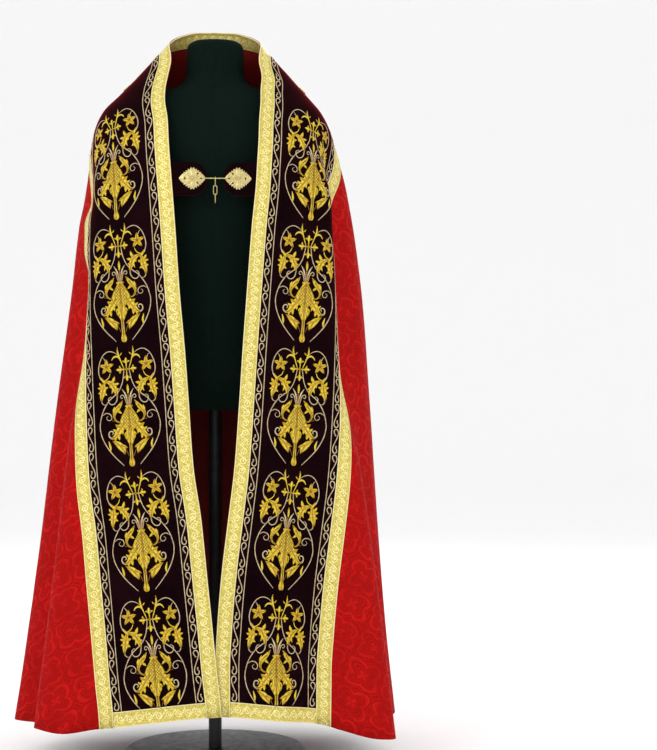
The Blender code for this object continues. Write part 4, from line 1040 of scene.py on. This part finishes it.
# embroidery: padded satin stitch, each stroke a low dome with pinched ends
# every stroke: thread, widths in mm at even steps along it, points (out from the middle, down) in mm
motif = {
    "repeat": 255.6 * mm,
    "first": {-1: 0.385, 1: 0.381},  # the first front cross on each side, from the nape
    "fronts": 5,
    "back": 57 * mm,  # the back crosses from the nape
    "hood": (27 * mm, 277 * mm),  # the hood's crosses from its top
    "start": 3 * mm,  # where the hood's borders start
    "samples": 5,  # lines on which the hem's edge is found
    "base": 1.3 * mm,  # its underside over the cloth, just inside the velvet
    "ring": ((1.0, 0.0), (0.78, 0.62), (0.3, 0.95), (-0.3, 0.95), (-0.78, 0.62), (-1.0, 0.0)),
    "domeShare": 0.34,  # a stroke's height as a share of its width, but never below or above these
    "dome": (0.9 * mm, 2.2 * mm),
    "step": 3.2 * mm,
    "veined": 7.5 * mm,  # a narrower stroke has no vein: its cut is moved aside from it
    "plain": 3 * mm,
    "overLeaves": 0.4,  # how much higher, in mm, the strokes on the middle line lie
    # drawn on both sides of the middle line
    "paired": (
        ("gold", (0.8, 3.6, 2.8, 2.2, 1.8), ((16, -46.5), (16.6, -40), (15.5, -31), (11, -17), (6, -3))),
        ("gold", (1.6, 4.6, 3.6, 0.6), ((13, -21), (16.5, -26.5), (22, -28), (27, -25.5), (30.5, -20))),
        ("gold", (1.2, 2.8, 0.5), ((14.5, -29), (10.5, -31), (7.5, -35))),
        ("pale", (2.0, 2.0, 2.2, 2.2, 2.0, 2.2, 2.4, 1.2), (
            (6, -4), (6, 4), (10, 25), (18, 42), (29, 53), (42, 64), (55, 84), (61.5, 105), (62.6, 119),
            (59, 137), (49, 158), (36, 176), (17, 197),
        )),
        ("gold", (1.4, 5, 0.8), ((43.6, 168), (43, 157), (46, 145))),
        ("pale", (1.0, 1.8, 2.0, 2.2, 2.6), (
            (13, -26), (23, -36), (37, -39.5), (50, -31), (58, -14), (60, 2), (56.5, 15), (50, 23),
        )),
        ("gold", (2.8, 2.4, 1.0), ((52, 21), (44.5, 19), (38, 13.5), (35, 6))),
        ("pale", (1.2, 1.4, 2.6), ((51.5, -29), (47.5, -27), (44.5, -21))),
        ("gold", (1.0, 5.6, 1.0), ((55, 13), (51, 21), (45.5, 27))),
        # inner leaf, its lobes and its curl
        ("gold", (2, 8, 12, 11, 7.5, 3.0), ((48, 22), (40, 24), (33, 28.5), (28.5, 36), (25, 45), (23, 55))),
        ("gold", (7, 7.4, 0.8), ((33, 28), (28.5, 20.5), (26, 13))),
        ("gold", (7, 7.4, 0.8), ((30, 32), (23.5, 29.5), (17.5, 28))),
        ("gold", (6, 6.4, 0.8), ((27.5, 38), (23, 39.5), (18.6, 39.5))),
        ("gold", (5, 5.6, 0.8), ((36, 27), (36, 32), (37, 36.5))),
        ("gold", (3.4, 4, 0.6), ((31, 36), (32, 43), (34, 48))),
        ("pale", (2.8, 2.2, 2.0, 1.8, 1.2), (
            (23, 54), (24.5, 63), (29.5, 69.5), (36.5, 70.5), (41.5, 65), (41.5, 58), (37, 54.5), (34, 57),
        )),
        # outer leaf, its lobes and its tail
        ("gold", (2.4, 8, 13, 12, 7.5, 2.6), (
            (49, 22), (50.5, 30), (52, 38), (54, 47), (56.5, 55), (56.5, 63),
        )),
        ("gold", (6, 6.6, 0.8), ((53, 34), (57, 28), (59.5, 23))),
        ("gold", (6, 6.4, 0.8), ((53, 37), (59, 35), (63.5, 33.5))),
        ("gold", (6, 6.4, 0.8), ((54, 43), (59, 44.5), (63, 45.5))),
        ("gold", (6, 6.4, 0.8), ((50.5, 36), (45, 35.5), (41, 34))),
        ("gold", (6, 6.4, 0.8), ((52, 44), (48, 48), (44, 50))),
        ("pale", (2.8, 2.0, 1.0), ((57, 60), (55.5, 66.5), (51.5, 70), (47.5, 69.5))),
        # spiral inside the lyre
        ("pale", (1.4, 2.0, 1.9, 1.7, 1.4, 0.9), (
            (57, 92), (49, 87.5), (40.5, 90), (37, 96.5), (40, 102.5), (46, 101.5), (48, 96.5), (44, 93.5),
        )),
        # palmette beside its bud
        ("pale", (1.4, 2.0, 3.8, 0.8), ((1.4, 75), (3.2, 60), (6.4, 50), (12, 40.5))),
        ("brown", (2.2, 2.8, 2.4, 1.2), ((2.4, 75), (4.4, 67), (6.2, 60), (7.2, 54))),
        ("pale", (1.8, 2.0, 1.8, 1.8, 1.8), (
            (3.4, 75), (6.2, 63), (9.2, 55), (13.4, 52.4), (16.4, 55.6), (14.6, 59.8), (11.4, 58.6),
        )),
        # leaves that stand beside the bulb
        ("gold", (3, 3.4, 4.6, 8, 9.5, 7, 0.8), (
            (19, 108.5), (26, 106.5), (31, 100), (31.5, 91.5), (27, 83), (20, 75), (12.5, 64),
        )),
        ("gold", (7, 6.6, 0.8), ((29.5, 91), (31.5, 84), (30, 75.5))),
        ("gold", (6, 5.6, 0.8), ((25, 83), (20, 87), (15.5, 91))),
        # leaves that droop beside the calyx, and their curls
        ("gold", (8, 15, 16, 13, 9, 4.2), (
            (9, 107), (16, 116.5), (22.5, 125), (28.5, 133), (34, 138.5), (40, 139.5),
        )),
        ("gold", (8, 7, 0.8), ((20, 119), (26, 115.5), (30.5, 112))),
        ("gold", (7, 6.6, 0.8), ((25, 127), (31.5, 124.5), (35.5, 121))),
        ("gold", (7, 7, 0.8), ((25, 130), (24.5, 138), (23.5, 144.5))),
        ("gold", (7, 6.6, 0.8), ((19, 120), (16.5, 128), (15.5, 133.5))),
        ("gold", (5, 5, 0.8), ((31, 136), (31.5, 142), (33, 146))),
        ("pale", (4.0, 3.4, 2.8, 2.4, 2.6, 1.6), (
            (37.5, 140.5), (43, 137.5), (45, 131.5), (42.6, 125.6), (37.4, 125.2), (35.4, 129), (38, 132),
        )),
        ("gold", (4, 5, 0.6), ((5, 127), (9, 131), (13, 135.5))),
        # tulip leaves under them
        ("gold", (0.8, 7.5, 13, 14, 9, 0.8), (
            (38.6, 144.5), (32.5, 148), (26, 153), (20, 159.5), (15.5, 167), (13, 174.5),
        )),
        ("gold", (8, 7.6, 0.8), ((22, 155), (14, 158.6), (6.6, 161))),
        ("brown", (1.2, 1.4, 0.8), ((12, 161), (8.4, 170), (5, 179))),
        ("brown", (1.0, 1.2, 0.6), ((30, 104.5), (34.5, 104.5), (37.5, 101.5))),
    ),
    # drawn once, on the middle line
    "single": (
        ("gold", (0.8, 5.4, 4.8, 2.2), ((0, 31), (0, 38), (0, 44), (0, 50))),
        ("brown", (2.0, 2.8, 2.6), ((0, 48), (0, 61), (0, 75))),
        ("gold", (3.2, 3.2, 3.2), ((-7.8, 76), (0, 75.4), (7.8, 76))),
        ("gold", (11, 16.5, 24, 31, 37, 40.5, 37.5, 27, 16), (
            (0, 77), (0, 83), (0, 89), (0, 95), (0, 101), (0, 107), (0, 113), (0, 119), (0, 125),
        )),
        ("gold", (16, 15, 15, 19, 18.5, 13, 8), (
            (0, 119), (0, 125), (0, 131), (0, 137), (0, 143), (0, 149), (0, 154),
        )),
        ("brown", (7.6, 7.2, 7.2, 8), ((0, 150), (0, 161), (0, 173), (0, 184))),
        ("gold", (7.5, 9, 12, 12, 5), ((0, 181), (0, 186), (0, 191), (0, 196), (0, 200))),
    ),
    # raised on the bulb and the stalk: thread, width, height over the base, points
    "raised": (
        ("gold", 1.5, 2.2, ((2.0, 150), (1.9, 166), (2.0, 183))),
        ("gold", 2.0, 1.9, ((6, 146), (9.6, 141), (10.6, 135))),
        ("brown", 1.2, 2.3, ((3.6, 121), (2.6, 134), (5.4, 146))),
        ("brown", 1.6, 1.4, ((19.6, 108), (15, 117), (8.6, 125))),
    ),
    # crossed threads on the bulb: where each leaves the middle, how far out it runs and its fall
    "hatch": (
        (79, 12, 1.2), (86, 15, 1.2), (93, 15, 1.2), (100, 13, 1.2), (107, 10, 1.2), (114, 7.5, 1.2),
        (86, 5, -1.2), (93, 7, -1.2), (100, 9, -1.2), (107, 11, -1.2), (114, 13, -1.2), (121, 15, -1.2),
    ),
    "hatchThread": ("brown", (1.1, 1.1, 1.1), 2.2),
    # five petals round a bud: thread and widths of a petal, and of the bud its half-length and height
    "star": {
        "middle": (42, -8),
        "reach": 16,
        "petal": ("gold", (3.0, 8.4, 7.0, 0.8)),
        "bud": ("brown", (2.0, 4.4, 2.0), 1.6, 1.6),
    },
    # a cross with budded ends: turn and length of each arm, then its stroke and its bud's, and their heights
    "cross": ((0, 21.5), (90, 24.6), (180, 21.5), (270, 24)),
    "arm": ("gold", (2.6, 2.4, 2.4, 5.6, 6.4, 0.6), (1, 5, 9.5, 14, 17.5, 21.5), 0.3),
    "bud": ("gold", (1.4, 3.6, 3.2, 0.6), ((11, 0.6), (12.6, 3.4), (14.4, 5.4), (13.2, 8.2)), 0.2),
    # a running scroll between the velvet's edge line and the galloon, one S for each repeat
    "border": {
        "edge": 75 * mm,
        "line": ("pale", (2.0, 2.0), 5 * mm),
        "repeat": 52.7 * mm,
        "stretch": 1.165,
        "step": 2.6 * mm,
        "scroll": ("pale", (3.2, 2.2, 2.4, 2.4, 2.2, 2.2, 2.2, 2.4, 2.4, 2.2, 3.2), (
            (85.2, 12.5), (82.4, 9.6), (80.4, 5), (83, 0.8), (87.6, 1.6), (90.2, 7), (88, 15), (84, 23),
            (80.2, 31), (79.4, 38), (82.6, 42.6), (87.4, 41.6), (88.6, 37), (85.8, 34), (86.6, 30),
        )),
    },
}
threadNames, threads = ("gold", "pale", "brown"), [goldThread, paleThread, brownThread]


def smoothPath(points, spacing):  # an even walk along the cubic through the points
    points = np.asarray(points, float) * mm
    ahead = np.concatenate([[2 * points[0] - points[1]], points, [2 * points[-1] - points[-2]]])
    t = np.linspace(0, 1, 24, endpoint=False)[:, None, None]
    a, b, c, d = (ahead[i : len(ahead) - 3 + i] for i in range(4))
    bend = 2 * b + (c - a) * t + (2 * a - 5 * b + 4 * c - d) * t**2 + (3 * b - a - 3 * c + d) * t**3
    dense = np.concatenate([(bend / 2).transpose(1, 0, 2).reshape(-1, 2), points[-1:]])
    along = alongLine(dense)
    even = np.linspace(0, along[-1], max(6, round(along[-1] / spacing) + 1))
    return np.stack([np.interp(even, along, dense[:, i]) for i in (0, 1)], axis=-1)


def stroke(thread, widths, points, raised=0.0, spacing=motif["step"], cross=0.0, limit=None):
    # one stroke in the plane, moved down by cross: rings of points, lifts, flat-cut lengths and thread.
    # each ring is half an oval, as wide as the stroke and a share of that high
    path = smoothPath(points, spacing)
    if limit is not None:
        inside = cross + path[:, 1] < limit(path[:, 0])
        path = path[: len(inside) if inside.all() else int(np.argmin(inside))]
        if len(path) < 3:
            return None
    share = np.linspace(0, 1, len(path))
    wide = throughPoints(np.linspace(0, 1, len(widths)), np.array(widths) * mm / 2, share)
    tangent = unitVectors(np.gradient(path, axis=0))
    across = np.stack([-tangent[:, 1], tangent[:, 0]], axis=-1)
    ring = np.array(motif["ring"])
    dome = np.clip(motif["domeShare"] * 2 * wide, *motif["dome"])
    flat = path[:, None] + (ring[:, 0] * wide[:, None])[..., None] * across[:, None] + (0, cross)
    high = raised * mm + ring[:, 1] * dome[:, None]
    aside = ring[:, 0] * wide[:, None] + (motif["plain"] if max(widths) * mm < motif["veined"] else 0)
    return flat, high, pairUp(alongLine(path)[:, None], aside), threadNames.index(thread)


def motifStrokes(cross, limit):  # one motif about its cross, each stroke cut off where it passes the limit
    rows = [(*row, 0.0) for row in motif["paired"]]
    rows += [(thread, (wide, wide, wide), points, high) for thread, wide, high, points in motif["raised"]]
    thread, widths, high = motif["hatchThread"]
    for start, reach, fall in motif["hatch"]:
        rows.append((thread, widths, [(x, start + fall * x) for x in (0, reach / 2, reach)], high))
    star = motif["star"]
    thread, widths = star["petal"]
    for turn in np.radians(np.arange(5) * 72 - 90):
        way, middle = np.array([np.cos(turn), np.sin(turn)]), np.array(star["middle"])
        rows.append((thread, widths, [middle + share * star["reach"] * way for share in (0, 0.55, 1)], 0.0))
    thread, widths, half, high = star["bud"]
    x, y = star["middle"]
    rows.append((thread, widths, ((x - half, y), (x, y), (x + half, y)), high))
    rows = [(t, w, [(side * x, y) for x, y in p], h) for t, w, p, h in rows for side in (1, -1)]
    for turn, reach in motif["cross"]:
        c, s = np.cos(np.radians(turn)), np.sin(np.radians(turn))
        thread, widths, places, high = motif["arm"]
        far = reach - places[-1]
        places = [place * reach / places[-1] for place in places]
        rows.append((thread, widths, [(c * place, s * place) for place in places], high))
        thread, widths, points, high = motif["bud"]
        for side in (1, -1):
            bud = [(c * (x + far) - s * side * y, s * (x + far) + c * side * y) for x, y in points]
            rows.append((thread, widths, bud, high))
    rows += [(*row, motif["overLeaves"]) for row in motif["single"]]
    return [stroke(*row, cross=cross, limit=limit) for row in rows]


def borderStrokes(start, stops):  # the two edge lines and their scrolls, each to its own stop
    border = motif["border"]
    lineThread, lineWidths, lineSpacing = border["line"]
    thread, widths, points = border["scroll"]
    strokes = []
    for side, stop in zip((1, -1), stops):
        count = round((stop - start) / border["repeat"])
        repeat = (stop - start) / count / mm
        stretch = border["stretch"] * repeat * mm / border["repeat"]
        line = [(side * border["edge"] / mm, start / mm + repeat * count * i / 8) for i in range(9)]
        strokes.append(stroke(lineThread, lineWidths, line, spacing=lineSpacing))
        for i in range(count):
            shift = start / mm + i * repeat
            path = [(side * x, shift + y * stretch) for x, y in points]
            strokes.append(stroke(thread, widths, path, spacing=border["step"]))
    return strokes


def embroider(name, place, crosses, start, limit):
    # place gives a point's x, y and lift their place on the cloth, and limit the last y at an x
    edge = motif["border"]["edge"]
    strokes = [one for cross in crosses for one in motifStrokes(cross, limit)]
    strokes += borderStrokes(start, (limit(edge), limit(-edge)))
    flats, highs, cuts, quads, caps, quadThreads, capThreads, count = [], [], [], [], [], [], [], 0
    for flat, high, cut, thread in filter(None, strokes):
        ids = count + numbered(*high.shape)
        quads.append(fourSided(closedRound(ids)))
        caps += [ids[0, ::-1], ids[-1]]
        quadThreads.append(np.full(len(quads[-1]), thread))
        capThreads += [thread, thread]
        flats.append(flat.reshape(-1, 2))
        highs.append(high.ravel())
        cuts.append(cut.reshape(-1, 2))
        count += high.size
    points = place(*np.concatenate(flats).T, motif["base"] + np.concatenate(highs))
    faces, finishOf = [np.concatenate(quads), np.array(caps)], np.concatenate([*quadThreads, capThreads])
    return addPiece(name, None, points, faces, threads, np.concatenate(cuts), finishOf)


def embroiderSide(name, side):
    # the hem galloon's upper edge, as lengths along the band's middle line
    distances = band["middle"] + np.linspace(-0.5, 0.5, motif["samples"]) * band["velvet"]
    ends = []
    for distance in distances:
        along, _, end = bandLine(side, distance)[2:]
        walk = np.interp(end - band["galloon"] - gap, along, np.arange(len(along)))
        ends.append(np.interp(walk, np.arange(len(midAlong[side])), midAlong[side]))
    crosses = [motif["back"], *(motif["first"][side] + i * motif["repeat"] for i in range(motif["fronts"]))]
    return embroider(
        name, lambda x, y, lift: bandPlace(side, y, band["middle"] - side * x, lift), crosses,
        band["galloon"] / 2 + gap, lambda x: np.interp(band["middle"] - side * x, distances, ends),
    )


onBand += [embroiderSide("embroideryRight", -1), embroiderSide("embroideryLeft", 1)]
embroider(
        "embroideryHood", lambda x, y, lift: hoodPlace(x, y, cloak["cloth"] + lift), motif["hood"],
        motif["start"], lambda x: foot + 0 * x,
    )
print("embroidery made")

# the clasp: two velvet tabs, two pierced gilt plates, a hook bar and a short chain
clasp = {
    "height": 1.218,
    "tabWidth": 70 * mm,
    "tabGap": 35 * mm,
    "tabRound": 31 * mm,  # how far the tab's tip bulges, as an oval of this power
    "tabPower": 2.3,
    "tabUnder": 24 * mm,
    "tabThick": 3 * mm,
    "tabClear": 2 * mm,
    "tabEdge": (0.5 * mm, 3 * mm),  # the pile drops by so much over the last so much to the edge
    "plateLength": 55 * mm,
    "plateWidth": 46 * mm,
    "plateThick": 1.1 * mm,
    "plateDome": 2.0 * mm,
    "plateRound": 1.25,  # 1 is a straight-sided rhombus, 2 an ellipse
    "plateClear": 0.8 * mm,
    "fromTip": 2 * mm,
    "corners": 180,
    "rings": 26,
    "teeth": 26,
    "tooth": (0.2, 0.6),  # depth, and the share of it that is cut inwards
    "toothless": (0.62, 0.1),  # share of the half-length beyond which the edge is plain, and its fade
    # relief: height, number round the plate, then where each lies between middle and rim, and its width
    "petals": (0.8 * mm, 8, 0.8),
    "beads": (0.6 * mm, 60, 0.9, 0.045, 0.25),
    "ring": (0.3 * mm, 0.74, 0.04),
    # piercings: share of the half-length towards the middle, of the half-width, and the slot's lean
    "pierced": ((0.40, 0.42, -45), (0.40, -0.42, 45), (0.66, 0.0, 90), (-0.56, 0.0, 0)),
    "slot": (1.4 * mm, 2.8 * mm),
    "slotFloor": 0.2 * mm,
    "barRadius": 1.3 * mm,
    "barOver": 4 * mm,
    "barClear": 0.8 * mm,
    "barLift": 1.8 * mm,
    "barBead": (0.35, 9 * mm, 1.6 * mm),  # how much thicker, where and how wide
    "barRibs": 0.15,
    "barEnd": 1.3 * mm,
    "wire": 0.9 * mm,
    "linkLength": 21 * mm,
    "linkWidth": 9 * mm,
    "linkPlay": 0.35 * mm,
    "links": 3,
}
tabLift = -cloak["cloth"] - clasp["tabClear"]


def frontPoint(x, height, out=0.0):  # the point at x and height on the cloak's face in front
    turn = frontTurn(np.abs(x), height, np.where(x < 0, -1.0, 1.0), out)
    radius = cloakRadius(turn, height) + out
    return np.stack([x, radius * np.cos(np.radians(turn)), height + 0 * x], axis=-1)


def frontNormal(x, height):  # square to the steps a millimetre across and up
    across = frontPoint(x + mm, height) - frontPoint(x - mm, height)
    up = frontPoint(x, height + mm) - frontPoint(x, height - mm)
    return unitVectors(np.cross(across, up))


def addTab(name, node, side):  # from its round tip to under the cloak's front edge
    up = np.sin(np.linspace(-1, 1, 41) * np.pi / 2)
    round_ = clasp["tabRound"] * (1 - np.clip(1 - np.abs(up) ** clasp["tabPower"], 0, 1) ** 0.5)
    tip = clasp["tabGap"] / 2 + round_
    height = clasp["height"] + up * clasp["tabWidth"] / 2
    front = tableColumn(cloak["frontEdge"], 2 if side > 0 else 1)[::-1]
    edge = throughPoints(tableColumn(cloak["frontEdge"], 0)[::-1], front, height)
    across = tip[:, None] + (edge + clasp["tabUnder"] - tip)[:, None] * np.linspace(0, 1, 31)
    across = across[:, ::side]
    x, height = side * across, np.repeat(height[:, None], 31, axis=1)
    rim = np.minimum(across - tip[:, None], clasp["tabWidth"] / 2 * (1 - np.abs(up))[:, None])
    drop, over = clasp["tabEdge"]
    high = -drop * (1 - smoothStep(rim / over))
    points, normals = frontPoint(x, height, tabLift), frontNormal(x, height)
    faces = fourSided(numbered(*x.shape).T)[:, ::-1]
    low, flat = -clasp["tabThick"], pairUp(x, height)
    onBand.append(addShell(name, node, points, normals, low, high, [velvet], flat, faces))


def plateRelief(u, v, share, angle):  # height of the plate over its base, and how far it is pierced
    petalHigh, petals, petalReach = clasp["petals"]
    beadHigh, beads, beadPlace, beadWidth, beadCut = clasp["beads"]
    ringHigh, ringPlace, ringWidth = clasp["ring"]
    petal = np.cos(petals * angle) * np.sin(fullTurn * np.clip(share / petalReach, 0, 1)) ** 2
    bead = np.exp(-(((share - beadPlace) / beadWidth) ** 2)) * (1 - beadCut + beadCut * np.cos(beads * angle))
    ring = np.exp(-(((share - ringPlace) / ringWidth) ** 2))
    lift = clasp["plateThick"] + clasp["plateDome"] * (1 - share**2)
    lift = lift + petalHigh * petal + beadHigh * bead + ringHigh * ring
    pierced = np.zeros_like(u)
    narrow, wide = clasp["slot"]
    for along, aside, lean in clasp["pierced"]:
        x, y = (u - along) * clasp["plateLength"] / 2, (v - aside) * clasp["plateWidth"] / 2
        c, s = np.cos(np.radians(lean)), np.sin(np.radians(lean))
        pierced += np.exp(-(np.hypot((c * x + s * y) / narrow, (c * y - s * x) / wide) ** 4))
    return lift - (lift - clasp["slotFloor"]) * np.clip(pierced, 0, 1), pierced


def addPlate(name, node, side):
    # rings of a rhombus with a toothed edge, a beaded rim and a rosette of petals; its outline is a
    # superellipse, of |cosine| and |sine| to the power plateRound
    angle = np.linspace(0, fullTurn, clasp["corners"] + 1)[:-1]
    cosine, sine, power = np.cos(angle), np.sin(angle), clasp["plateRound"]
    reach = (np.abs(cosine) ** power + np.abs(sine) ** power) ** (-1 / power)
    plain, fade = clasp["toothless"]
    toothed = smoothStep((plain + fade - reach * np.abs(cosine)) / fade)
    wave = np.abs((angle * clasp["teeth"] / fullTurn) % 1 * 2 - 1)
    edge = reach * (1 + clasp["tooth"][0] * toothed * (wave - clasp["tooth"][1]))
    share = (np.arange(1, clasp["rings"] + 1) / clasp["rings"])[:, None] * np.ones_like(edge)
    u, v = share * edge * cosine, share * edge * sine
    lift, pierced = plateRelief(u, v, share, angle)
    centre = side * (clasp["tabGap"] / 2 + clasp["fromTip"] + clasp["plateLength"] / 2)
    x = centre - side * u * clasp["plateLength"] / 2
    height = clasp["height"] + v * clasp["plateWidth"] / 2
    low = tabLift + clasp["plateClear"]
    base = frontPoint(x, height, low)
    top = base + lift[..., None] * frontNormal(x, height)
    middle = np.array([centre]), np.array([clasp["height"]])
    crown = frontPoint(*middle, low) + (clasp["plateThick"] + clasp["plateDome"]) * frontNormal(*middle)
    count, ids = len(angle), numbered(*x.shape)
    loop = closedRound(ids)
    foot_ = loop[-1] + count
    rim = np.stack([loop[-1, :-1], loop[-1, 1:], foot_[1:], foot_[:-1]], axis=-1)
    fan = np.stack([loop[0, :-1], loop[0, 1:], np.full(count, ids.size + count)], axis=-1)
    quads = np.concatenate([fourSided(loop)[:, ::-1], rim[:, ::-1]])
    faces = [face[:, ::-side] for face in (quads, fan, foot_[None, -2::-1])]
    points = np.concatenate([top.reshape(-1, 3), base[-1], crown])
    deep = np.append(pierced.ravel(), np.zeros(count + 1))  # velvet shows through the slots
    finishOf = np.concatenate([(deep[face].mean(axis=1) > 0.5).astype(int) for face in faces])
    addPiece(name, node, points, faces, [gilt, velvet], finishOf=finishOf, sharp=50)


for name, node, side in (("Right", "right", -1), ("Left", "left", 1)):
    addTab(f"claspTab{name}", f"clasp_tab_{node}", side)
    addPlate(f"claspPlate{name}", f"clasp_plate_{node}", side)


def addTube(name, node, path, radius, sides, closed=True, flat=(0, 1, 0)):
    # a round tube about a path that lies flat: rings of radius times the cosine and sine round each point
    ahead = np.roll(path, -1, axis=0) - np.roll(path, 1, axis=0) if closed else np.gradient(path, axis=0)
    ahead = unitVectors(ahead)
    flat = np.broadcast_to(np.asarray(flat, float), ahead.shape)
    out = np.cross(flat, ahead)
    angle = fullTurn * np.arange(sides) / sides
    ring = np.cos(angle)[:, None] * flat[:, None] + np.sin(angle)[:, None] * out[:, None]
    points = path[:, None] + np.broadcast_to(radius, (len(path),))[:, None, None] * ring
    ids = numbered(len(path), sides)
    loop = closedRound(ids)
    faces = [fourSided(np.concatenate([loop, loop[:1]]))[:, ::-1]] if closed else [
        fourSided(loop)[:, ::-1], ids[:1], ids[-1:, ::-1],
    ]
    addPiece(name, node, points, faces, [gilt])


tip = clasp["tabGap"] / 2 + clasp["fromTip"] + clasp["barOver"]
plateTop = tabLift + clasp["plateClear"] + clasp["barLift"]
depth = frontPoint(np.array([tip]), np.array([clasp["height"]]), plateTop)[0, 1]
depth -= clasp["barRadius"] + clasp["barClear"]
x = np.linspace(-tip, tip, 61)
thicker, place, width = clasp["barBead"]
beads = 1 + thicker * np.exp(-((np.abs(np.abs(x) - place) / width) ** 2))
beads = beads - clasp["barRibs"] * np.cos(x / mm) ** 2
ends = np.clip((tip - np.abs(x)) / clasp["barEnd"], 0.05, 1) ** 0.5
bar = np.stack([x, depth + 0 * x, clasp["height"] + 0 * x], axis=-1)
addTube("claspBar", "clasp_bar", bar, clasp["barRadius"] * beads * ends * 0.95, 16, closed=False)
angle = np.linspace(0, fullTurn, 49)[:-1]
half, radius = (clasp["linkLength"] - clasp["linkWidth"]) / 2, clasp["linkWidth"] / 2 - clasp["wire"]
linkTop = clasp["height"] + clasp["barRadius"] + clasp["linkPlay"] + 2 * clasp["wire"]
for link in range(clasp["links"]):
    pitch = clasp["linkLength"] - 4 * clasp["wire"] - clasp["linkPlay"]
    middle = linkTop - clasp["linkLength"] / 2 - link * pitch
    out, level = radius * np.cos(angle), depth + 0 * angle
    up = middle + radius * np.sin(angle) + half * np.tanh(6 * np.sin(angle))
    path = [out, level, up] if link % 2 else [0 * out, depth + out, up]
    flat = (0, 1, 0) if link % 2 else (1, 0, 0)
    name, node = f"pendantLink{link + 1}", f"pendant_link_{link + 1}"
    addTube(name, node, np.stack(path, axis=-1), clasp["wire"], 12, flat=flat)
print("clasp made")

# the dress form: a padded torso in knit jersey on a steel stand
form = {
    # height, half-width, back, front
    "sections": (
        (0.740, 0.168, 0.104, 0.100),
        (0.800, 0.176, 0.112, 0.108),
        (0.900, 0.166, 0.104, 0.102),
        (1.000, 0.158, 0.100, 0.101),
        (1.100, 0.170, 0.112, 0.113),
        (1.200, 0.190, 0.128, 0.124),
        (1.290, 0.226, 0.140, 0.118),
        (1.340, 0.246, 0.140, 0.104),
        (1.374, 0.250, 0.130, 0.092),
        (1.400, 0.216, 0.112, 0.080),
        (1.420, 0.120, 0.084, 0.068),
        (1.436, 0.074, 0.066, 0.061),
        (1.460, 0.062, 0.060, 0.059),
        (1.510, 0.061, 0.059, 0.059),
        (1.521, 0.057, 0.055, 0.055),
        (1.527, 0.048, 0.046, 0.046),
    ),
    "square": 2.2,
    "clear": 4.5 * mm,  # inside the cloak's lining
    "sides": 128,
    "rows": ((1.2, 70), (1.46, 70), (1.527, 28)),  # height, and the number of rows up to it
    "seam": (1 * mm, 2 * mm),  # depth and half-width
}
heights = tableColumn(form["sections"], 0)
rows = heights[:1]
for top, count in form["rows"]:
    rows = np.concatenate([rows, np.linspace(rows[-1], top, count)[1:]])
turn, height = np.meshgrid(360 * np.arange(form["sides"]) / form["sides"] - 180, rows)
half, back, front = (throughPoints(heights, tableColumn(form["sections"], i), height) for i in (1, 2, 3))
own = ovalRadius(turn, half, back, front, form["square"])
slope = (cloakRadius(turn, height + mm) - cloakRadius(turn, height - mm)) / (2 * mm)
inside = cloakRadius(turn, height) - (cloak["cloth"] + form["clear"]) * np.sqrt(1 + slope**2)
seams = np.minimum(np.abs(turn), 180 - np.abs(turn))  # one down the back and one down the front
deep, wide = form["seam"]
grooves = deep * np.exp(-((seams * own * np.pi / 180 / wide) ** 2))
points = aroundAxis(np.minimum(own, inside) - grooves, np.radians(turn), height)
ids = numbered(*turn.shape)
faces = [fourSided(closedRound(ids))[:, ::-1], ids[:1], ids[-1:, ::-1]]
torso = addPiece("formTorso", "form_torso", points, faces, [jersey], sharp=60)
for node in ("stand_pole", "stand_base"):
    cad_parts[node].material_slots[0].material = steel
print("form made")


# a white floor that curves up into a wall all round, three softboxes and the camera
room = {
    "camera": (0, -3.8, 0.813),
    "turn": -3.675,
    "lens": 84.65,
    "floor": 9.0,
    "curve": 3.0,
    "wall": 6.0,
    "aim": (0, 0, 0.8),
    # place, size, power
    "softboxes": (
        ((-2.4, -3.0, 2.9), 1.8, 40),
        ((2.6, -2.6, 2.2), 1.8, 14),
        ((0.4, 3.2, 3.0), 1.8, 36),
    ),
}
bend, far = np.linspace(0, np.pi / 2, 17), room["floor"] + room["curve"]
reach = np.concatenate([[0.01, 3, 6], room["floor"] + room["curve"] * np.sin(bend), [far]])
rise = np.concatenate([[0, 0, 0], room["curve"] * (1 - np.cos(bend)), [room["wall"]]])
points = aroundAxis(reach[:, None], fullTurn * np.arange(96) / 96, rise[:, None])
ids = numbered(*points.shape[:2])
paper = newFinish("whitePaper", Roughness=0.9, Specular_IOR_Level=0.1, Base_Color=colour("FAFAFA"))[0]
floor = addMesh("studioFloor", points, [fourSided(closedRound(ids)), ids[:1, ::-1]], [paper])
world = bpy.data.worlds.new("studio")
bpy.context.scene.world = world
world.use_nodes = True
setInputs(world.node_tree.nodes["Background"], {"Color": (1, 1, 1, 1), "Strength": 1.0})
for i, (place, size, power) in enumerate(room["softboxes"]):
    lamp = bpy.data.lights.new(f"softbox{i + 1}", "AREA")
    lamp.size, lamp.energy = size, power
    made = bpy.data.objects.new(lamp.name, lamp)
    bpy.context.scene.collection.objects.link(made)
    made.location = place
    aim = np.array(room["aim"]) - place
    made.rotation_euler = (np.arctan2(np.hypot(aim[0], aim[1]), -aim[2]), 0, np.arctan2(-aim[0], aim[1]))
camera = bpy.data.objects.new("camera", bpy.data.cameras.new("camera"))
bpy.context.scene.collection.objects.link(camera)
camera.location = room["camera"]
camera.rotation_euler = (np.pi / 2, 0, np.radians(room["turn"]))
camera.data.lens = room["lens"]
bpy.context.scene.camera = camera
bpy.context.scene.view_settings.view_transform = "Standard"
print("stage set")
